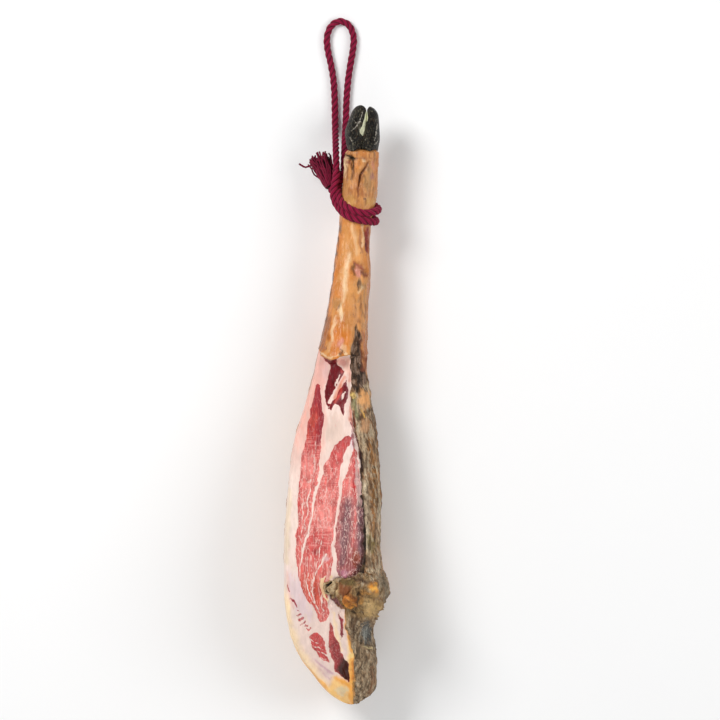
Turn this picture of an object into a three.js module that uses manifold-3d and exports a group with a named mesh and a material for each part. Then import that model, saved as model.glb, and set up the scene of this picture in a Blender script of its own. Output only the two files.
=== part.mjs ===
// A dry-cured ham on the bone, lying on its rounded edge with the carved face up.
// Millimetres. The hoof points along +Y, the carved face looks up along +Z, and z = 0 is the table.
// x and y are centred on the ham. Its rope is hitched round the shank and its loop lies on the table.

import * as THREE from "three";
import { mergeVertices } from "three/addons/utils/BufferGeometryUtils.js";
import Module from "manifold-3d";

const wasm = await Module();
wasm.setup();

// Places along the ham
const HOOF_TIP_Y = 421;
const FOOT_Y = 354; // where the skin ends inside the hoof
const CUFF_Y = 69; // where the rind was cut round the shank
const CUFF_WALL = 6; // length of the slanting wall under the cuff
const KNOB_Y = -258; // middle of the hip bone's lump
const TIP_Y = -421;
const TIP_ROUND = 26; // length over which the tip rounds off
const TIP_MIDDLE = { x: 20, z: 70 };

// The carved face and the crust beside it
const RIM_HEIGHT = 6; // the crust stands this proud of the carved face
const RIM_WIDTH = 4;
const FACE_SAG = 3; // how hollow the carved face is across its middle
const EDGE_WIDTH = 5; // the rounded edge of fat on the left

// The rope
const ROPE_D = 10;
const TOUCH_GAP = 0.3; // between pieces that touch

// Smoothness of the solids
const LOWER_STEPS = 9;
const SHOULDER_STEPS = 8;
const FACE_STEPS = 8;
const ROPE_SIDES = 10;

// A smooth curve of a value along y, with no overshoot between its knots.
function profile(knots) {
  const ys = knots.map(([y]) => y);
  const vs = knots.map(([, v]) => v);
  const slopes = ys.slice(1).map((y, i) => (vs[i + 1] - vs[i]) / (y - ys[i]));
  const tangents = ys.map((_, i) => {
    const before = slopes[Math.max(i - 1, 0)];
    const after = slopes[Math.min(i, slopes.length - 1)];
    return before * after > 0 ? (2 * before * after) / (before + after) : 0;
  });
  return (y) => {
    const at = THREE.MathUtils.clamp(y, ys[0], ys[ys.length - 1]);
    const next = ys.findIndex((k) => k > at);
    const i = (next < 0 ? ys.length - 1 : next) - 1;
    const span = ys[i + 1] - ys[i];
    const t = (at - ys[i]) / span;
    const rise = t * t * (3 - 2 * t);
    return (
      vs[i] * (1 - rise) +
      vs[i + 1] * rise +
      span * t * (1 - t) * (tangents[i] * (1 - t) - tangents[i + 1] * t)
    );
  };
}

// The outline from above
const leftSide = profile([
  [TIP_Y, -2], [-407, -12], [-385, -29], [-351, -53], [-318, -66], [-270, -73], [-200, -74],
  [-127, -69], [-60, -62], [7, -43], [CUFF_Y, -28], [158, -10], [248, 3], [300, 7], [FOOT_Y, 12],
]);
const rightSide = profile([
  [TIP_Y, 46], [-385, 54.5], [-351, 54.5], [-318, 52], [-284, 61], [KNOB_Y, 74], [-228, 64],
  [-195, 60], [-127, 61], [-60, 57], [7, 47.5], [CUFF_Y, 41], [158, 45], [248, 47.5], [300, 57], [FOOT_Y, 59],
]);
const carvedRight = profile([
  [TIP_Y, 20], [-350, 25], [-286, 10], [-236, 35], [-196, 39.5], [-123, 34], [-70, 31], [-8, 20.5],
  [CUFF_Y, 18], [158, 27], [FOOT_Y, 44],
]);
// The outline from the side
const lowestLine = profile([
  [TIP_Y, 56], [-407, 42], [-385, 25], [-351, 8], [-318, -1], [-270, -4], [-70, -4], [-30, 0], [20, 9],
  [CUFF_Y, 22], [113, 31], [158, 38], [203, 42], [248, 45], [300, 41], [FOOT_Y, 43],
]);
const carvedTop = profile([
  [TIP_Y, 84], [-385, 104], [-318, 136], [-270, 150], [-235, 152], [-83, 121], [CUFF_Y, 93],
]);
const shankTop = profile([
  [CUFF_Y, 112], [113, 105], [158, 99], [203, 94], [248, 90], [300, 93], [FOOT_Y, 93],
]);
// Heights of the widest points, and the place of the lowest line across the ham
const widestLeft = profile([
  [TIP_Y, 72], [-385, 78], [-318, 104], [-262, 122], [-195, 122], [-60, 100], [7, 88], [CUFF_Y, 72],
  [158, 68], [FOOT_Y, 68],
]);
const widestRight = profile([
  [TIP_Y, 70], [-385, 66], [-318, 72], [KNOB_Y, 88], [-195, 78], [-60, 64], [CUFF_Y, 64], [FOOT_Y, 68],
]);
const lowestX = profile([
  [TIP_Y, 20], [-385, 10], [-262, -2], [-127, -2], [7, 2], [CUFF_Y, 6], [158, 17], [248, 25], [FOOT_Y, 35],
]);

// Lumps and hollows of the upper side: centre, radii and height
const LUMPS = [
  { x: 42, y: KNOB_Y - 2, rx: 46, ry: 36, height: 20 }, // the hip bone under its crust
  { x: 14, y: -262, rx: 26, ry: 24, height: 9 }, // dried flesh round the bone's end
  { x: 50, y: -292, rx: 24, ry: 20, height: 8 }, // ridge below the knob
  { x: 42, y: -328, rx: 26, ry: 26, height: -9 }, // hollow below the ridge
  { x: 8, y: 42, rx: 26, ry: 26, height: -5 }, // scoop under the cuff
];

const mix = (a, b, t) => a + (b - a) * t;
const power = (v, n) => Math.pow(Math.max(v, 0), n);

// Height of a rounded quarter above its base, at the share t of its width from the middle.
const roundHeight = (t, n) => power(1 - power(Math.abs(t), n), 1 / n);

function lumpHeight(x, y) {
  return LUMPS.reduce((sum, lump) => {
    const inside = Math.max(1 - ((x - lump.x) / lump.rx) ** 2 - ((y - lump.y) / lump.ry) ** 2, 0);
    return sum + lump.height * inside * inside * (3 - 2 * inside);
  }, 0);
}

// The ham's outline across at y: a ring of [x, z] points.
function section(y) {
  const left = leftSide(y);
  const right = rightSide(y);
  const lowX = lowestX(y);
  const lowZ = lowestLine(y);
  const leftZ = widestLeft(y);
  const rightZ = widestRight(y);
  const carved = THREE.MathUtils.clamp((CUFF_Y - y) / CUFF_WALL, 0, 1);
  const faceRight = carvedRight(y);
  const faceLeft = left + EDGE_WIDTH;
  const crestX = (left + right) / 2;
  const crestZ = shankTop(y);
  const faceZ = carvedTop(y);
  const fullness = mix(2.2, 2.35, carved);

  const shankHeight = (x) =>
    x > crestX
      ? rightZ + (crestZ - rightZ) * roundHeight((x - crestX) / (right - crestX), 2.3)
      : leftZ + (crestZ - leftZ) * roundHeight((x - crestX) / (left - crestX), 2.3);
  const ring = [];
  const addTop = (x, carvedZ) => {
    ring.push([x, mix(shankHeight(x), carvedZ, carved) + carved * lumpHeight(x, y)]);
  };

  for (let i = 0; i < LOWER_STEPS; i++) {
    const angle = (i / LOWER_STEPS) * (Math.PI / 2);
    ring.push([
      lowX + (left - lowX) * power(Math.cos(angle), 2 / fullness),
      Math.max(leftZ - (leftZ - lowZ) * power(Math.sin(angle), 2 / fullness), 0),
    ]);
  }
  for (let i = 0; i < LOWER_STEPS; i++) {
    const angle = (i / LOWER_STEPS) * (Math.PI / 2);
    ring.push([
      lowX + (right - lowX) * power(Math.sin(angle), 2 / fullness),
      Math.max(rightZ - (rightZ - lowZ) * power(Math.cos(angle), 2 / fullness), 0),
    ]);
  }
  for (let i = 0; i <= SHOULDER_STEPS; i++) {
    const share = Math.cos((i / SHOULDER_STEPS) * (Math.PI / 2));
    const rise = faceZ + RIM_HEIGHT - rightZ;
    addTop(mix(faceRight, right, share), rightZ + rise * roundHeight(share, 2.1));
  }
  for (let i = 0; i <= FACE_STEPS; i++) {
    const share = i / FACE_STEPS;
    const sag = FACE_SAG * Math.sin(Math.PI * share);
    addTop(mix(faceRight - RIM_WIDTH, faceLeft, share), faceZ - sag);
  }
  for (let i = 1; i < 3; i++) {
    const share = Math.sin((i / 3) * (Math.PI / 2));
    addTop(mix(faceLeft, left, share), leftZ + (faceZ - leftZ) * roundHeight(share, 2));
  }
  const past = THREE.MathUtils.clamp((TIP_Y + TIP_ROUND - y) / TIP_ROUND, 0, 1);
  const shrink = Math.sqrt(1 - past * past);
  return ring.map(([x, z]) => [mix(TIP_MIDDLE.x, x, shrink), mix(TIP_MIDDLE.z, z, shrink)]);
}

// Where the ham is sliced into sections, from the tip to the foot.
function sectionPlaces() {
  const spread = (from, to, count) => Array.from({ length: count }, (_, i) => mix(from, to, i / count));
  const tip = [0.02, 0.1, 0.25, 0.45, 0.7].map((share) => TIP_Y + TIP_ROUND * share);
  return [
    ...tip,
    ...spread(TIP_Y + TIP_ROUND, -320, 7),
    ...spread(-320, -200, 14),
    ...spread(-200, CUFF_Y - CUFF_WALL, 14),
    CUFF_Y - CUFF_WALL,
    ...spread(CUFF_Y, FOOT_Y, 13),
    FOOT_Y,
  ];
}

// A closed solid through rings of points with the same count, closed by a point at each end.
function loft(rings) {
  const count = rings[0].length;
  const middle = (ring) => ring.reduce((sum, p) => sum.add(p), new THREE.Vector3()).divideScalar(count);
  const points = [...rings.flat(), middle(rings[0]), middle(rings[rings.length - 1])];
  const first = points.length - 2;
  const last = points.length - 1;
  const index = [];
  for (let r = 0; r + 1 < rings.length; r++) {
    for (let i = 0; i < count; i++) {
      const a = r * count + i;
      const b = r * count + ((i + 1) % count);
      index.push(a, a + count, b, b, a + count, b + count);
    }
  }
  for (let i = 0; i < count; i++) {
    const j = (i + 1) % count;
    index.push(first, i, j);
    index.push(last, (rings.length - 1) * count + j, (rings.length - 1) * count + i);
  }
  return new THREE.BufferGeometry().setFromPoints(points).setIndex(index);
}

// Solids are joined and cut as manifolds.
function toSolid(geometry) {
  const bare = geometry.clone();
  for (const name of Object.keys(bare.attributes)) {
    if (name !== "position") bare.deleteAttribute(name);
  }
  const merged = mergeVertices(bare, 1e-4);
  return new wasm.Manifold(
    new wasm.Mesh({
      numProp: 3,
      vertProperties: new Float32Array(merged.attributes.position.array),
      triVerts: new Uint32Array(merged.index.array),
    }),
  );
}

function toGeometry(solid) {
  const { vertProperties, triVerts, numProp } = solid.getMesh();
  const points = [];
  for (let i = 0; i < vertProperties.length; i += numProp) {
    points.push(new THREE.Vector3(vertProperties[i], vertProperties[i + 1], vertProperties[i + 2]));
  }
  const geometry = new THREE.BufferGeometry().setFromPoints(points).setIndex([...triVerts]);
  geometry.computeVertexNormals();
  return geometry;
}

function hamGeometry() {
  const rings = sectionPlaces().map((y) => section(y).map(([x, z]) => new THREE.Vector3(x, y, z)));
  return loft(rings);
}

// The end of the hip bone, which sticks out of the carved flesh beside the knob.
const HIP_BONE = { x: -4, y: -253, z: 148, radius: 10, length: 34, lean: 0.5 };

function hipBoneGeometry(grow) {
  const { radius, length } = HIP_BONE;
  const outline = [
    [0, -length / 2],
    [radius * 0.7, -length / 2],
    [radius * 0.8, 0],
    [radius, length * 0.3],
    [radius * 0.92, length * 0.45],
    [radius * 0.5, length / 2],
    [0, length * 0.46],
  ];
  const grown = outline.map(([r, h]) => new THREE.Vector2(r === 0 ? 0 : r + grow, h + Math.sign(h) * grow));
  return new THREE.LatheGeometry(grown, 16)
    .rotateX(Math.PI / 2)
    .rotateY(-HIP_BONE.lean)
    .translate(HIP_BONE.x, HIP_BONE.y, HIP_BONE.z);
}

// The hoof's two toes of horn: where their inner and outer sides lie, along y.
const TOE_BASE_Y = FOOT_Y + TOUCH_GAP;
const TOES = {
  left: {
    tipY: HOOF_TIP_Y,
    inner: profile([
      [FOOT_Y, 34.3], [369, 35.7], [378, 36.7], [392, 39.6], [406, 41], [414, 40], [418.6, 37.8],
      [HOOF_TIP_Y, 34.5],
    ]),
    outer: profile([
      [FOOT_Y, 15.4], [365, 12.6], [381, 10.9], [391, 13.3], [402, 17.5], [413, 21.8], [418.6, 26.6],
      [HOOF_TIP_Y, 31.5],
    ]),
  },
  right: {
    tipY: HOOF_TIP_Y - 2,
    inner: profile([
      [FOOT_Y, 35.1], [369, 37.1], [378, 39.9], [392, 42], [406, 42.3], [414, 42.8],
      [HOOF_TIP_Y - 2, 45],
    ]),
    outer: profile([
      [FOOT_Y, 57.4], [362, 58.8], [371, 60.2], [391, 59.4], [406, 58], [415, 53.2],
      [HOOF_TIP_Y - 2, 47.6],
    ]),
  },
};

const TOE_HALF_HEIGHT = 25;
const TOE_BASE_Z = 68; // middle of a toe at the foot
const TOE_END_Z = 76; // and at its tip
const TOE_FLAT = 0.35; // how far in from the middle the inner side is cut flat
const SOLE_WEAR = 0.12; // how much lower the worn sole is than the back
const TOE_RINGS = 10;
const TOE_SIDES = 18;
const TOE_END = 0.985; // the last ring stops short of a point

// One toe: a wedge with a flat inner side and a worn sole that faces up.
function toeGeometry({ tipY, inner, outer }) {
  const side = Math.sign(outer(TOE_BASE_Y) - inner(TOE_BASE_Y));
  const rings = [];
  for (let i = 0; i <= TOE_RINGS; i++) {
    const along = Math.sin((i / TOE_RINGS) * (Math.PI / 2) * TOE_END);
    const y = mix(TOE_BASE_Y, tipY, along);
    const halfZ = TOE_HALF_HEIGHT * power(1 - power(along, 3), 0.5);
    const middleZ = mix(TOE_BASE_Z, TOE_END_Z, along);
    const ring = [];
    for (let j = 0; j < TOE_SIDES; j++) {
      const angle = (j / TOE_SIDES) * Math.PI * 2;
      const out = (Math.max(Math.cos(angle), -TOE_FLAT) + TOE_FLAT) / (1 + TOE_FLAT);
      const z = middleZ + halfZ * Math.sin(angle) * (1 - SOLE_WEAR * Math.max(Math.sin(angle), 0));
      ring.push(new THREE.Vector3(mix(inner(y), outer(y), out), y, z));
    }
    rings.push(side < 0 ? ring.reverse() : ring);
  }
  return loft(rings);
}

const ropePath = (points) =>
  new THREE.CatmullRomCurve3(
    points.map((p) => new THREE.Vector3(...p)),
    false,
    "centripetal",
  );

// A round rope along points. The section is a polygon, so the solid stays plain.
function ropeGeometry(points, steps, diameter = ROPE_D) {
  const outline = new THREE.Shape(
    Array.from({ length: ROPE_SIDES }, (_, i) => {
      const angle = (i / ROPE_SIDES) * Math.PI * 2;
      return new THREE.Vector2(Math.cos(angle), Math.sin(angle)).multiplyScalar(diameter / 2);
    }),
  );
  return new THREE.ExtrudeGeometry(outline, { steps, extrudePath: ropePath(points) });
}

// The loop that lies free on the table. Both ends come out of the hitch.
const LOOP_ROUTE = [
  [-1, 330, 62], [-1.2, 342, 59], [-1.6, 355, 50], [-2, 368, 35], [-2.4, 380, 20], [-2.8, 392, 9],
  [-3.2, 405, 5.2], [-3.6, 430, 5], [-5.2, 458, 5], [-9, 482, 5], [-13.5, 503, 5], [-14.4, 522, 5],
  [-7.8, 537.5, 5], [4.2, 543.5, 5], [16.2, 538, 5], [23, 522, 5], [22.2, 503, 5], [18.6, 482, 5],
  [15.2, 458, 5], [13, 430, 5], [12.2, 405, 5.2], [11.6, 392, 8.5], [11.2, 380, 16.5], [10.6, 368, 27],
  [10.2, 355, 37], [9.8, 342, 44], [9.5, 330, 48],
];

// The two turns round the shank. Each strand comes in on the left, crosses the front and goes behind.
const LOWER_TURN = [
  [-1.5, 317, 65.5], [-3.4, 309, 68], [-4.7, 301, 69.5], [-4.4, 293, 71], [-1.9, 284.7, 73.5], [3.5, 276, 80],
  [11.2, 267.5, 91], [21, 262, 95.3], [31, 259, 95.8], [41, 257, 92], [49.5, 256.5, 83], [54, 258, 69],
  [52, 261, 54], [43, 267, 42.4], [30, 273, 38], [15, 280, 41], [5, 288, 50], [0.5, 298, 63],
];
const UPPER_TURN = [
  [6, 317, 51.5], [2.5, 311, 55], [0.8, 304, 61], [1.8, 296, 70], [5.3, 286.5, 80], [11.5, 279.5, 90],
  [21, 274, 95.4], [31, 270.5, 96.2], [41, 269, 93], [50.5, 270.5, 86], [57.2, 274, 69], [55.5, 278, 54],
  [46, 284, 41.5], [33, 290, 36.6], [18, 296, 38.8], [7, 300.5, 43.5], [-1, 302, 43.5], [-8, 303.5, 46.5],
  [-10.5, 308, 50.5],
];
const TURN_STEPS = 44;
const STRAND_LENGTH = 6; // from the loop's end, in line with it, before the turn begins

function turnGeometry(share, turn) {
  const loop = ropePath(LOOP_ROUTE);
  const meet = loop.getPoint(share);
  const inwards = loop.getTangent(share).multiplyScalar(share === 0 ? -1 : 1);
  const along = (distance) => meet.clone().addScaledVector(inwards, distance).toArray();
  return ropeGeometry([along(TOUCH_GAP), along(STRAND_LENGTH), ...turn], TURN_STEPS);
}

function hitchSolid() {
  return toSolid(turnGeometry(0, LOWER_TURN)).add(toSolid(turnGeometry(1, UPPER_TURN)));
}

// The rope's frayed end, which sticks out of the hitch to the left.
const TASSEL = { root: [-10, 307, 52], end: [-24, 349, 34], rootRadius: 6, endRadius: 15 };

function tasselGeometry() {
  const root = new THREE.Vector3(...TASSEL.root);
  const end = new THREE.Vector3(...TASSEL.end);
  const length = root.distanceTo(end);
  const outline = [
    new THREE.Vector2(0, 0),
    new THREE.Vector2(TASSEL.rootRadius, 0),
    new THREE.Vector2(mix(TASSEL.rootRadius, TASSEL.endRadius, 0.55), length * 0.35),
    new THREE.Vector2(TASSEL.endRadius, length * 0.75),
    new THREE.Vector2(TASSEL.endRadius * 0.7, length * 0.95),
    new THREE.Vector2(0, length),
  ];
  const turn = new THREE.Quaternion().setFromUnitVectors(
    new THREE.Vector3(0, 1, 0),
    end.clone().sub(root).normalize(),
  );
  return new THREE.LatheGeometry(outline, 14).applyQuaternion(turn).translate(root.x, root.y, root.z);
}

// Finishes
const finish = (color, roughness) => new THREE.MeshStandardMaterial({ color, roughness, metalness: 0 });
const FINISHES = {
  flesh: finish(0xa9483c, 0.45),
  bone: finish(0xb79a6a, 0.6),
  horn: finish(0x23221e, 0.3),
  rope: finish(0x7b1f3a, 0.9),
};

function piece(name, geometry, material) {
  const mesh = new THREE.Mesh(geometry, material);
  mesh.name = name;
  return mesh;
}

const boneSpace = toSolid(hipBoneGeometry(TOUCH_GAP));
const ham = toSolid(hamGeometry()).subtract(boneSpace);
const hitch = hitchSolid().subtract(ham);
const tassel = toSolid(tasselGeometry()).subtract(hitch);

const curedHam = new THREE.Group();
curedHam.add(piece("ham_body", toGeometry(ham), FINISHES.flesh));
curedHam.add(piece("hip_bone", hipBoneGeometry(0), FINISHES.bone));
curedHam.add(piece("hoof_toe_left", toeGeometry(TOES.left), FINISHES.horn));
curedHam.add(piece("hoof_toe_right", toeGeometry(TOES.right), FINISHES.horn));
curedHam.add(piece("rope_hitch", toGeometry(hitch), FINISHES.rope));
curedHam.add(piece("rope_loop", ropeGeometry(LOOP_ROUTE, 60), FINISHES.rope));
curedHam.add(piece("rope_tassel", toGeometry(tassel), FINISHES.rope));

export default curedHam;
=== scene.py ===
"""The looks of a dry-cured ham on the bone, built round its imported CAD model.

The ham lies on its rounded edge with the carved face up. Lengths in tables are millimetres, as in the
CAD source, and each finished mesh is in metres. Outlines of the cut muscles and of the stains are
written in the photograph's pixels, and photo_place turns the ham's own places into those.
"""

import math

import bpy
import numpy as np
from bpy.props import FloatProperty, FloatVectorProperty, IntProperty, PointerProperty
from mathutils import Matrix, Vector, noise


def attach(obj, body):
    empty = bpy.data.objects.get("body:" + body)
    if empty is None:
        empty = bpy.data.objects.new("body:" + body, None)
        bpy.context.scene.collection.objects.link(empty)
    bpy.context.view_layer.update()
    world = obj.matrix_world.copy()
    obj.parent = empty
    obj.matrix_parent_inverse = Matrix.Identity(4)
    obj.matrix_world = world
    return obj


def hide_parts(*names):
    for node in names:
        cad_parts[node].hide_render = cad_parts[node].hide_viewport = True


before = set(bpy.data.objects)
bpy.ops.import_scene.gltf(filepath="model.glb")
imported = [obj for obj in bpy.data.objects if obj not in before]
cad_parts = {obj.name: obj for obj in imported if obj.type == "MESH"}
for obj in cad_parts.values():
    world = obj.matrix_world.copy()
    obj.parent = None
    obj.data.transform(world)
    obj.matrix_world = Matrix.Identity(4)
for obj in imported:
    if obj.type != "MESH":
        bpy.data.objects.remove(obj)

bl_info = {
    "name": "Cured ham",
    "version": (1, 0, 0),
    "blender": (4, 5, 0),
    "location": "3D View > Sidebar > Cured ham",
    "description": "Makes the carved ham, its hoof, its hip bone and its rope over the CAD model",
    "category": "Object",
}

MILLIMETRE = 0.001
FULL_TURN = 2 * math.pi

# The photograph's scale on the ham
PIXEL = 1.4  # millimetres of the ham to a pixel
PHOTO_MIDDLE = (337, 405)  # the pixel over the middle of the ham
PHOTO_SIDE = 720

# Places along the ham, in millimetres
HOOF_TIP_Y = 421
FOOT_Y = 354
CUFF_Y = 69
CUFF_WALL = 6
KNOB_Y = -258
TIP_Y = -421
TIP_ROUND = 26
TIP_MIDDLE = (20, 70)

# The carved face and the crust beside it
RIM_HEIGHT = 6
RIM_WIDTH = 4
FACE_SAG = 3
EDGE_WIDTH = 5
DEPTH_REACH = 20  # how far into or out of the flesh a depth is told

# How finely the ham's skin is divided
LOWER_STEPS = 27
SHOULDER_STEPS = 30
WALL_STEPS = 3
FACE_STEPS = 98
EDGE_STEPS = 8
CARVED_ROW = 1.48
CUFF_ROW = 1.0
SHANK_ROW = 2.1
DOME_ROWS = 8
DOME_LENGTH = 8
DOME_END = 0.97  # share of the dome that is drawn, and its width where the shank ends
TIP_ROWS = 14

# How square the ham's rounded sides are: 2 is a circle's quarter
SHANK_FULLNESS = 2.2
HAM_FULLNESS = 2.35
SHANK_ROOF = 2.3
SHOULDER_ROOF = 2.1
EDGE_ROOF = 2


def linear(red, green, blue):
    """A colour as it looks on a screen, 0 to 255, turned into linear light."""
    shares = [channel / 255 for channel in (red, green, blue)]
    return tuple(s / 12.92 if s <= 0.04045 else ((s + 0.055) / 1.055) ** 2.4 for s in shares)


def smooth(value, low, high):
    """A soft step from 0 at low to 1 at high."""
    share = np.clip((value - low) / (high - low), 0, 1)
    return share * share * (3 - 2 * share)


def blend(start, end, share):
    """A value between two others."""
    return start + (end - start) * share


def power(value, exponent):
    """A power of a value that is cut off at zero."""
    return np.power(np.maximum(value, 0), exponent)


def round_height(share, exponent):
    """Height of a rounded quarter at a share of its width from the middle."""
    return power(1 - power(np.abs(share), exponent), 1 / exponent)


def profile(knots):
    """A smooth curve of a value along y that doesn't overshoot its knots."""
    places = np.array([knot[0] for knot in knots], float)
    values = np.array([knot[1] for knot in knots], float)
    slopes = np.diff(values) / np.diff(places)
    order = np.arange(len(places))
    before = slopes[np.maximum(order - 1, 0)]
    after = slopes[np.minimum(order, len(slopes) - 1)]
    same_way = before * after > 0
    tangents = np.where(same_way, 2 * before * after / np.where(same_way, before + after, 1), 0)

    def value_at(y):
        y = np.clip(y, places[0], places[-1])
        i = np.clip(np.searchsorted(places, y, side="right") - 1, 0, len(slopes) - 1)
        span = places[i + 1] - places[i]
        t = (y - places[i]) / span
        rise = t * t * (3 - 2 * t)
        bend = span * t * (1 - t) * (tangents[i] * (1 - t) - tangents[i + 1] * t)
        return values[i] * (1 - rise) + values[i + 1] * rise + bend

    return value_at


# The ham's outline from above
left_side = profile([
    (TIP_Y, -2), (-407, -12), (-385, -29), (-351, -53), (-318, -66), (-270, -73), (-200, -74),
    (-127, -69), (-60, -62), (7, -43), (CUFF_Y, -28), (158, -10), (248, 3), (300, 7), (FOOT_Y, 12),
])
right_side = profile([
    (TIP_Y, 46), (-385, 54.5), (-351, 54.5), (-318, 52), (-284, 61), (KNOB_Y, 74), (-228, 64),
    (-195, 60), (-127, 61), (-60, 57), (7, 47.5), (CUFF_Y, 41), (158, 45), (248, 47.5), (300, 57),
    (FOOT_Y, 59),
])
carved_right = profile([
    (TIP_Y, 20), (-350, 25), (-286, 10), (-236, 35), (-196, 39.5), (-123, 34), (-70, 31), (-8, 20.5),
    (CUFF_Y, 18), (158, 27), (FOOT_Y, 44),
])
# Its outline from the side
lowest_line = profile([
    (TIP_Y, 56), (-407, 42), (-385, 25), (-351, 8), (-318, -1), (-270, -4), (-70, -4), (-30, 0),
    (20, 9), (CUFF_Y, 22), (113, 31), (158, 38), (203, 42), (248, 45), (300, 41), (FOOT_Y, 43),
])
carved_top = profile([
    (TIP_Y, 84), (-385, 104), (-318, 136), (-270, 150), (-235, 152), (-83, 121), (CUFF_Y, 93),
])
shank_top = profile([
    (CUFF_Y, 112), (113, 105), (158, 99), (203, 94), (248, 90), (300, 93), (FOOT_Y, 93),
])
# Heights of its widest points, and the place of its lowest line across
widest_left = profile([
    (TIP_Y, 72), (-385, 78), (-318, 104), (-262, 122), (-195, 122), (-60, 100), (7, 88), (CUFF_Y, 72),
    (158, 68), (FOOT_Y, 68),
])
widest_right = profile([
    (TIP_Y, 70), (-385, 66), (-318, 72), (KNOB_Y, 88), (-195, 78), (-60, 64), (CUFF_Y, 64),
    (FOOT_Y, 68),
])
lowest_x = profile([
    (TIP_Y, 20), (-385, 10), (-262, -2), (-127, -2), (7, 2), (CUFF_Y, 6), (158, 17), (248, 25),
    (FOOT_Y, 35),
])
# The cut edge of the rind, y by x, which dips where the knife turned
cuff_line = profile([
    (-26, 78), (-22, 72), (-16, 66.5), (-9, 63.4), (-5, 62.8), (1, 65), (7, 68), (17, 69.5), (46, 70),
])

# Lumps and hollows of the upper side: x, y, radius across, radius along, height
LUMPS = [
    (42, KNOB_Y - 2, 46, 36, 20),
    (14, -262, 26, 24, 9),
    (50, -292, 24, 20, 8),
    (42, -328, 26, 26, -9),
    (8, 42, 26, 26, -5),
]


def lump_height(x, y):
    """Height of the lumps and hollows over a place of the upper side."""
    total = 0
    for lump_x, lump_y, across, along, height in LUMPS:
        inside = np.maximum(1 - ((x - lump_x) / across) ** 2 - ((y - lump_y) / along) ** 2, 0)
        total = total + height * inside * inside * (3 - 2 * inside)
    return total


def section_columns():
    """The parts of a section's ring in order: a name and the shares of that part."""
    return [
        ("lower left", np.arange(LOWER_STEPS) / LOWER_STEPS),
        ("lower right", np.arange(LOWER_STEPS) / LOWER_STEPS),
        ("shoulder", np.arange(SHOULDER_STEPS) / SHOULDER_STEPS),
        ("wall", np.arange(WALL_STEPS) / WALL_STEPS),
        ("face", np.arange(FACE_STEPS + 1) / FACE_STEPS),
        ("edge", np.arange(1, EDGE_STEPS) / EDGE_STEPS),
    ]


def section_rows():
    """Where the ham is sliced, from its tip to the dome of skin inside the hoof."""
    tip = TIP_Y + TIP_ROUND * (1 - np.cos(np.linspace(0.06, 0.94, TIP_ROWS) * math.pi / 2))
    wall_start = CUFF_Y - 2 * CUFF_WALL
    wall_end = CUFF_Y + 2 * CUFF_WALL
    carved = np.arange(TIP_Y + TIP_ROUND, wall_start, CARVED_ROW)
    cuff = np.arange(wall_start, wall_end, CUFF_ROW)
    shank = np.arange(wall_end, FOOT_Y, SHANK_ROW)
    dome = FOOT_Y + DOME_LENGTH * np.sin(np.linspace(0, DOME_END, DOME_ROWS) * math.pi / 2)
    return np.concatenate([tip, carved, cuff, shank, dome])


def ham_grid():
    """The smooth ham before its relief: x, y, z grids in millimetres, and each column's part."""
    y = section_rows()[:, None]
    left = left_side(y)
    right = right_side(y)
    low_x = lowest_x(y)
    low_z = lowest_line(y)
    left_z = widest_left(y)
    right_z = widest_right(y)
    face_right = carved_right(y)
    face_left = left + EDGE_WIDTH
    face_z = carved_top(y)
    crest_x = (left + right) / 2
    crest_z = shank_top(y)
    fullness = blend(SHANK_FULLNESS, HAM_FULLNESS, np.clip((CUFF_Y - y) / CUFF_WALL, 0, 1))

    def shank_height(x):
        reach = np.where(x > crest_x, right - crest_x, left - crest_x)
        side_z = np.where(x > crest_x, right_z, left_z)
        across = np.clip((x - crest_x) / reach, -1, 1)
        return side_z + (crest_z - side_z) * round_height(across, SHANK_ROOF)

    def upper(x, carved_z):
        carved = smooth(cuff_line(x) - y, 0, CUFF_WALL)
        return x, blend(shank_height(x), carved_z, carved) + carved * lump_height(x, y)

    grids = []
    parts = []
    for part, share in section_columns():
        share = share[None, :]
        angle = share * math.pi / 2
        if part == "lower left":
            x = low_x + (left - low_x) * power(np.cos(angle), 2 / fullness)
            z = np.maximum(left_z - (left_z - low_z) * power(np.sin(angle), 2 / fullness), 0)
        elif part == "lower right":
            x = low_x + (right - low_x) * power(np.sin(angle), 2 / fullness)
            z = np.maximum(right_z - (right_z - low_z) * power(np.cos(angle), 2 / fullness), 0)
        elif part == "shoulder":
            out = np.cos(angle)
            rise = face_z + RIM_HEIGHT - right_z
            x, z = upper(blend(face_right, right, out), right_z + rise * round_height(out, SHOULDER_ROOF))
        elif part == "wall":
            down = smooth(share, 0, 1)
            x, z = upper(face_right - RIM_WIDTH * share, face_z + RIM_HEIGHT * (1 - down))
        elif part == "face":
            x = blend(face_right - RIM_WIDTH, face_left, share)
            x, z = upper(x, face_z - FACE_SAG * np.sin(math.pi * share))
        else:
            out = np.sin(angle)
            rise = face_z - left_z
            x, z = upper(blend(face_left, left, out), left_z + rise * round_height(out, EDGE_ROOF))
        grids.append((x, z))
        parts += [part] * share.shape[1]
    x = np.concatenate([grid[0] for grid in grids], axis=1)
    z = np.concatenate([grid[1] for grid in grids], axis=1)
    past = np.clip((TIP_Y + TIP_ROUND - y) / TIP_ROUND, 0, 1)
    inside_hoof = np.clip((y - FOOT_Y) / DOME_LENGTH, 0, 1)
    shrink = np.sqrt(1 - past * past)
    dome = DOME_END * np.sqrt(1 - inside_hoof * inside_hoof)
    x = blend(TIP_MIDDLE[0], x, shrink)
    z = blend(TIP_MIDDLE[1], z, shrink)
    x = np.where(y > FOOT_Y, blend(crest_x, x, dome), x)
    z = np.where(y > FOOT_Y, blend(left_z, z, dome), z)
    return x, np.broadcast_to(y, x.shape).copy(), z, np.array(parts)


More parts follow.
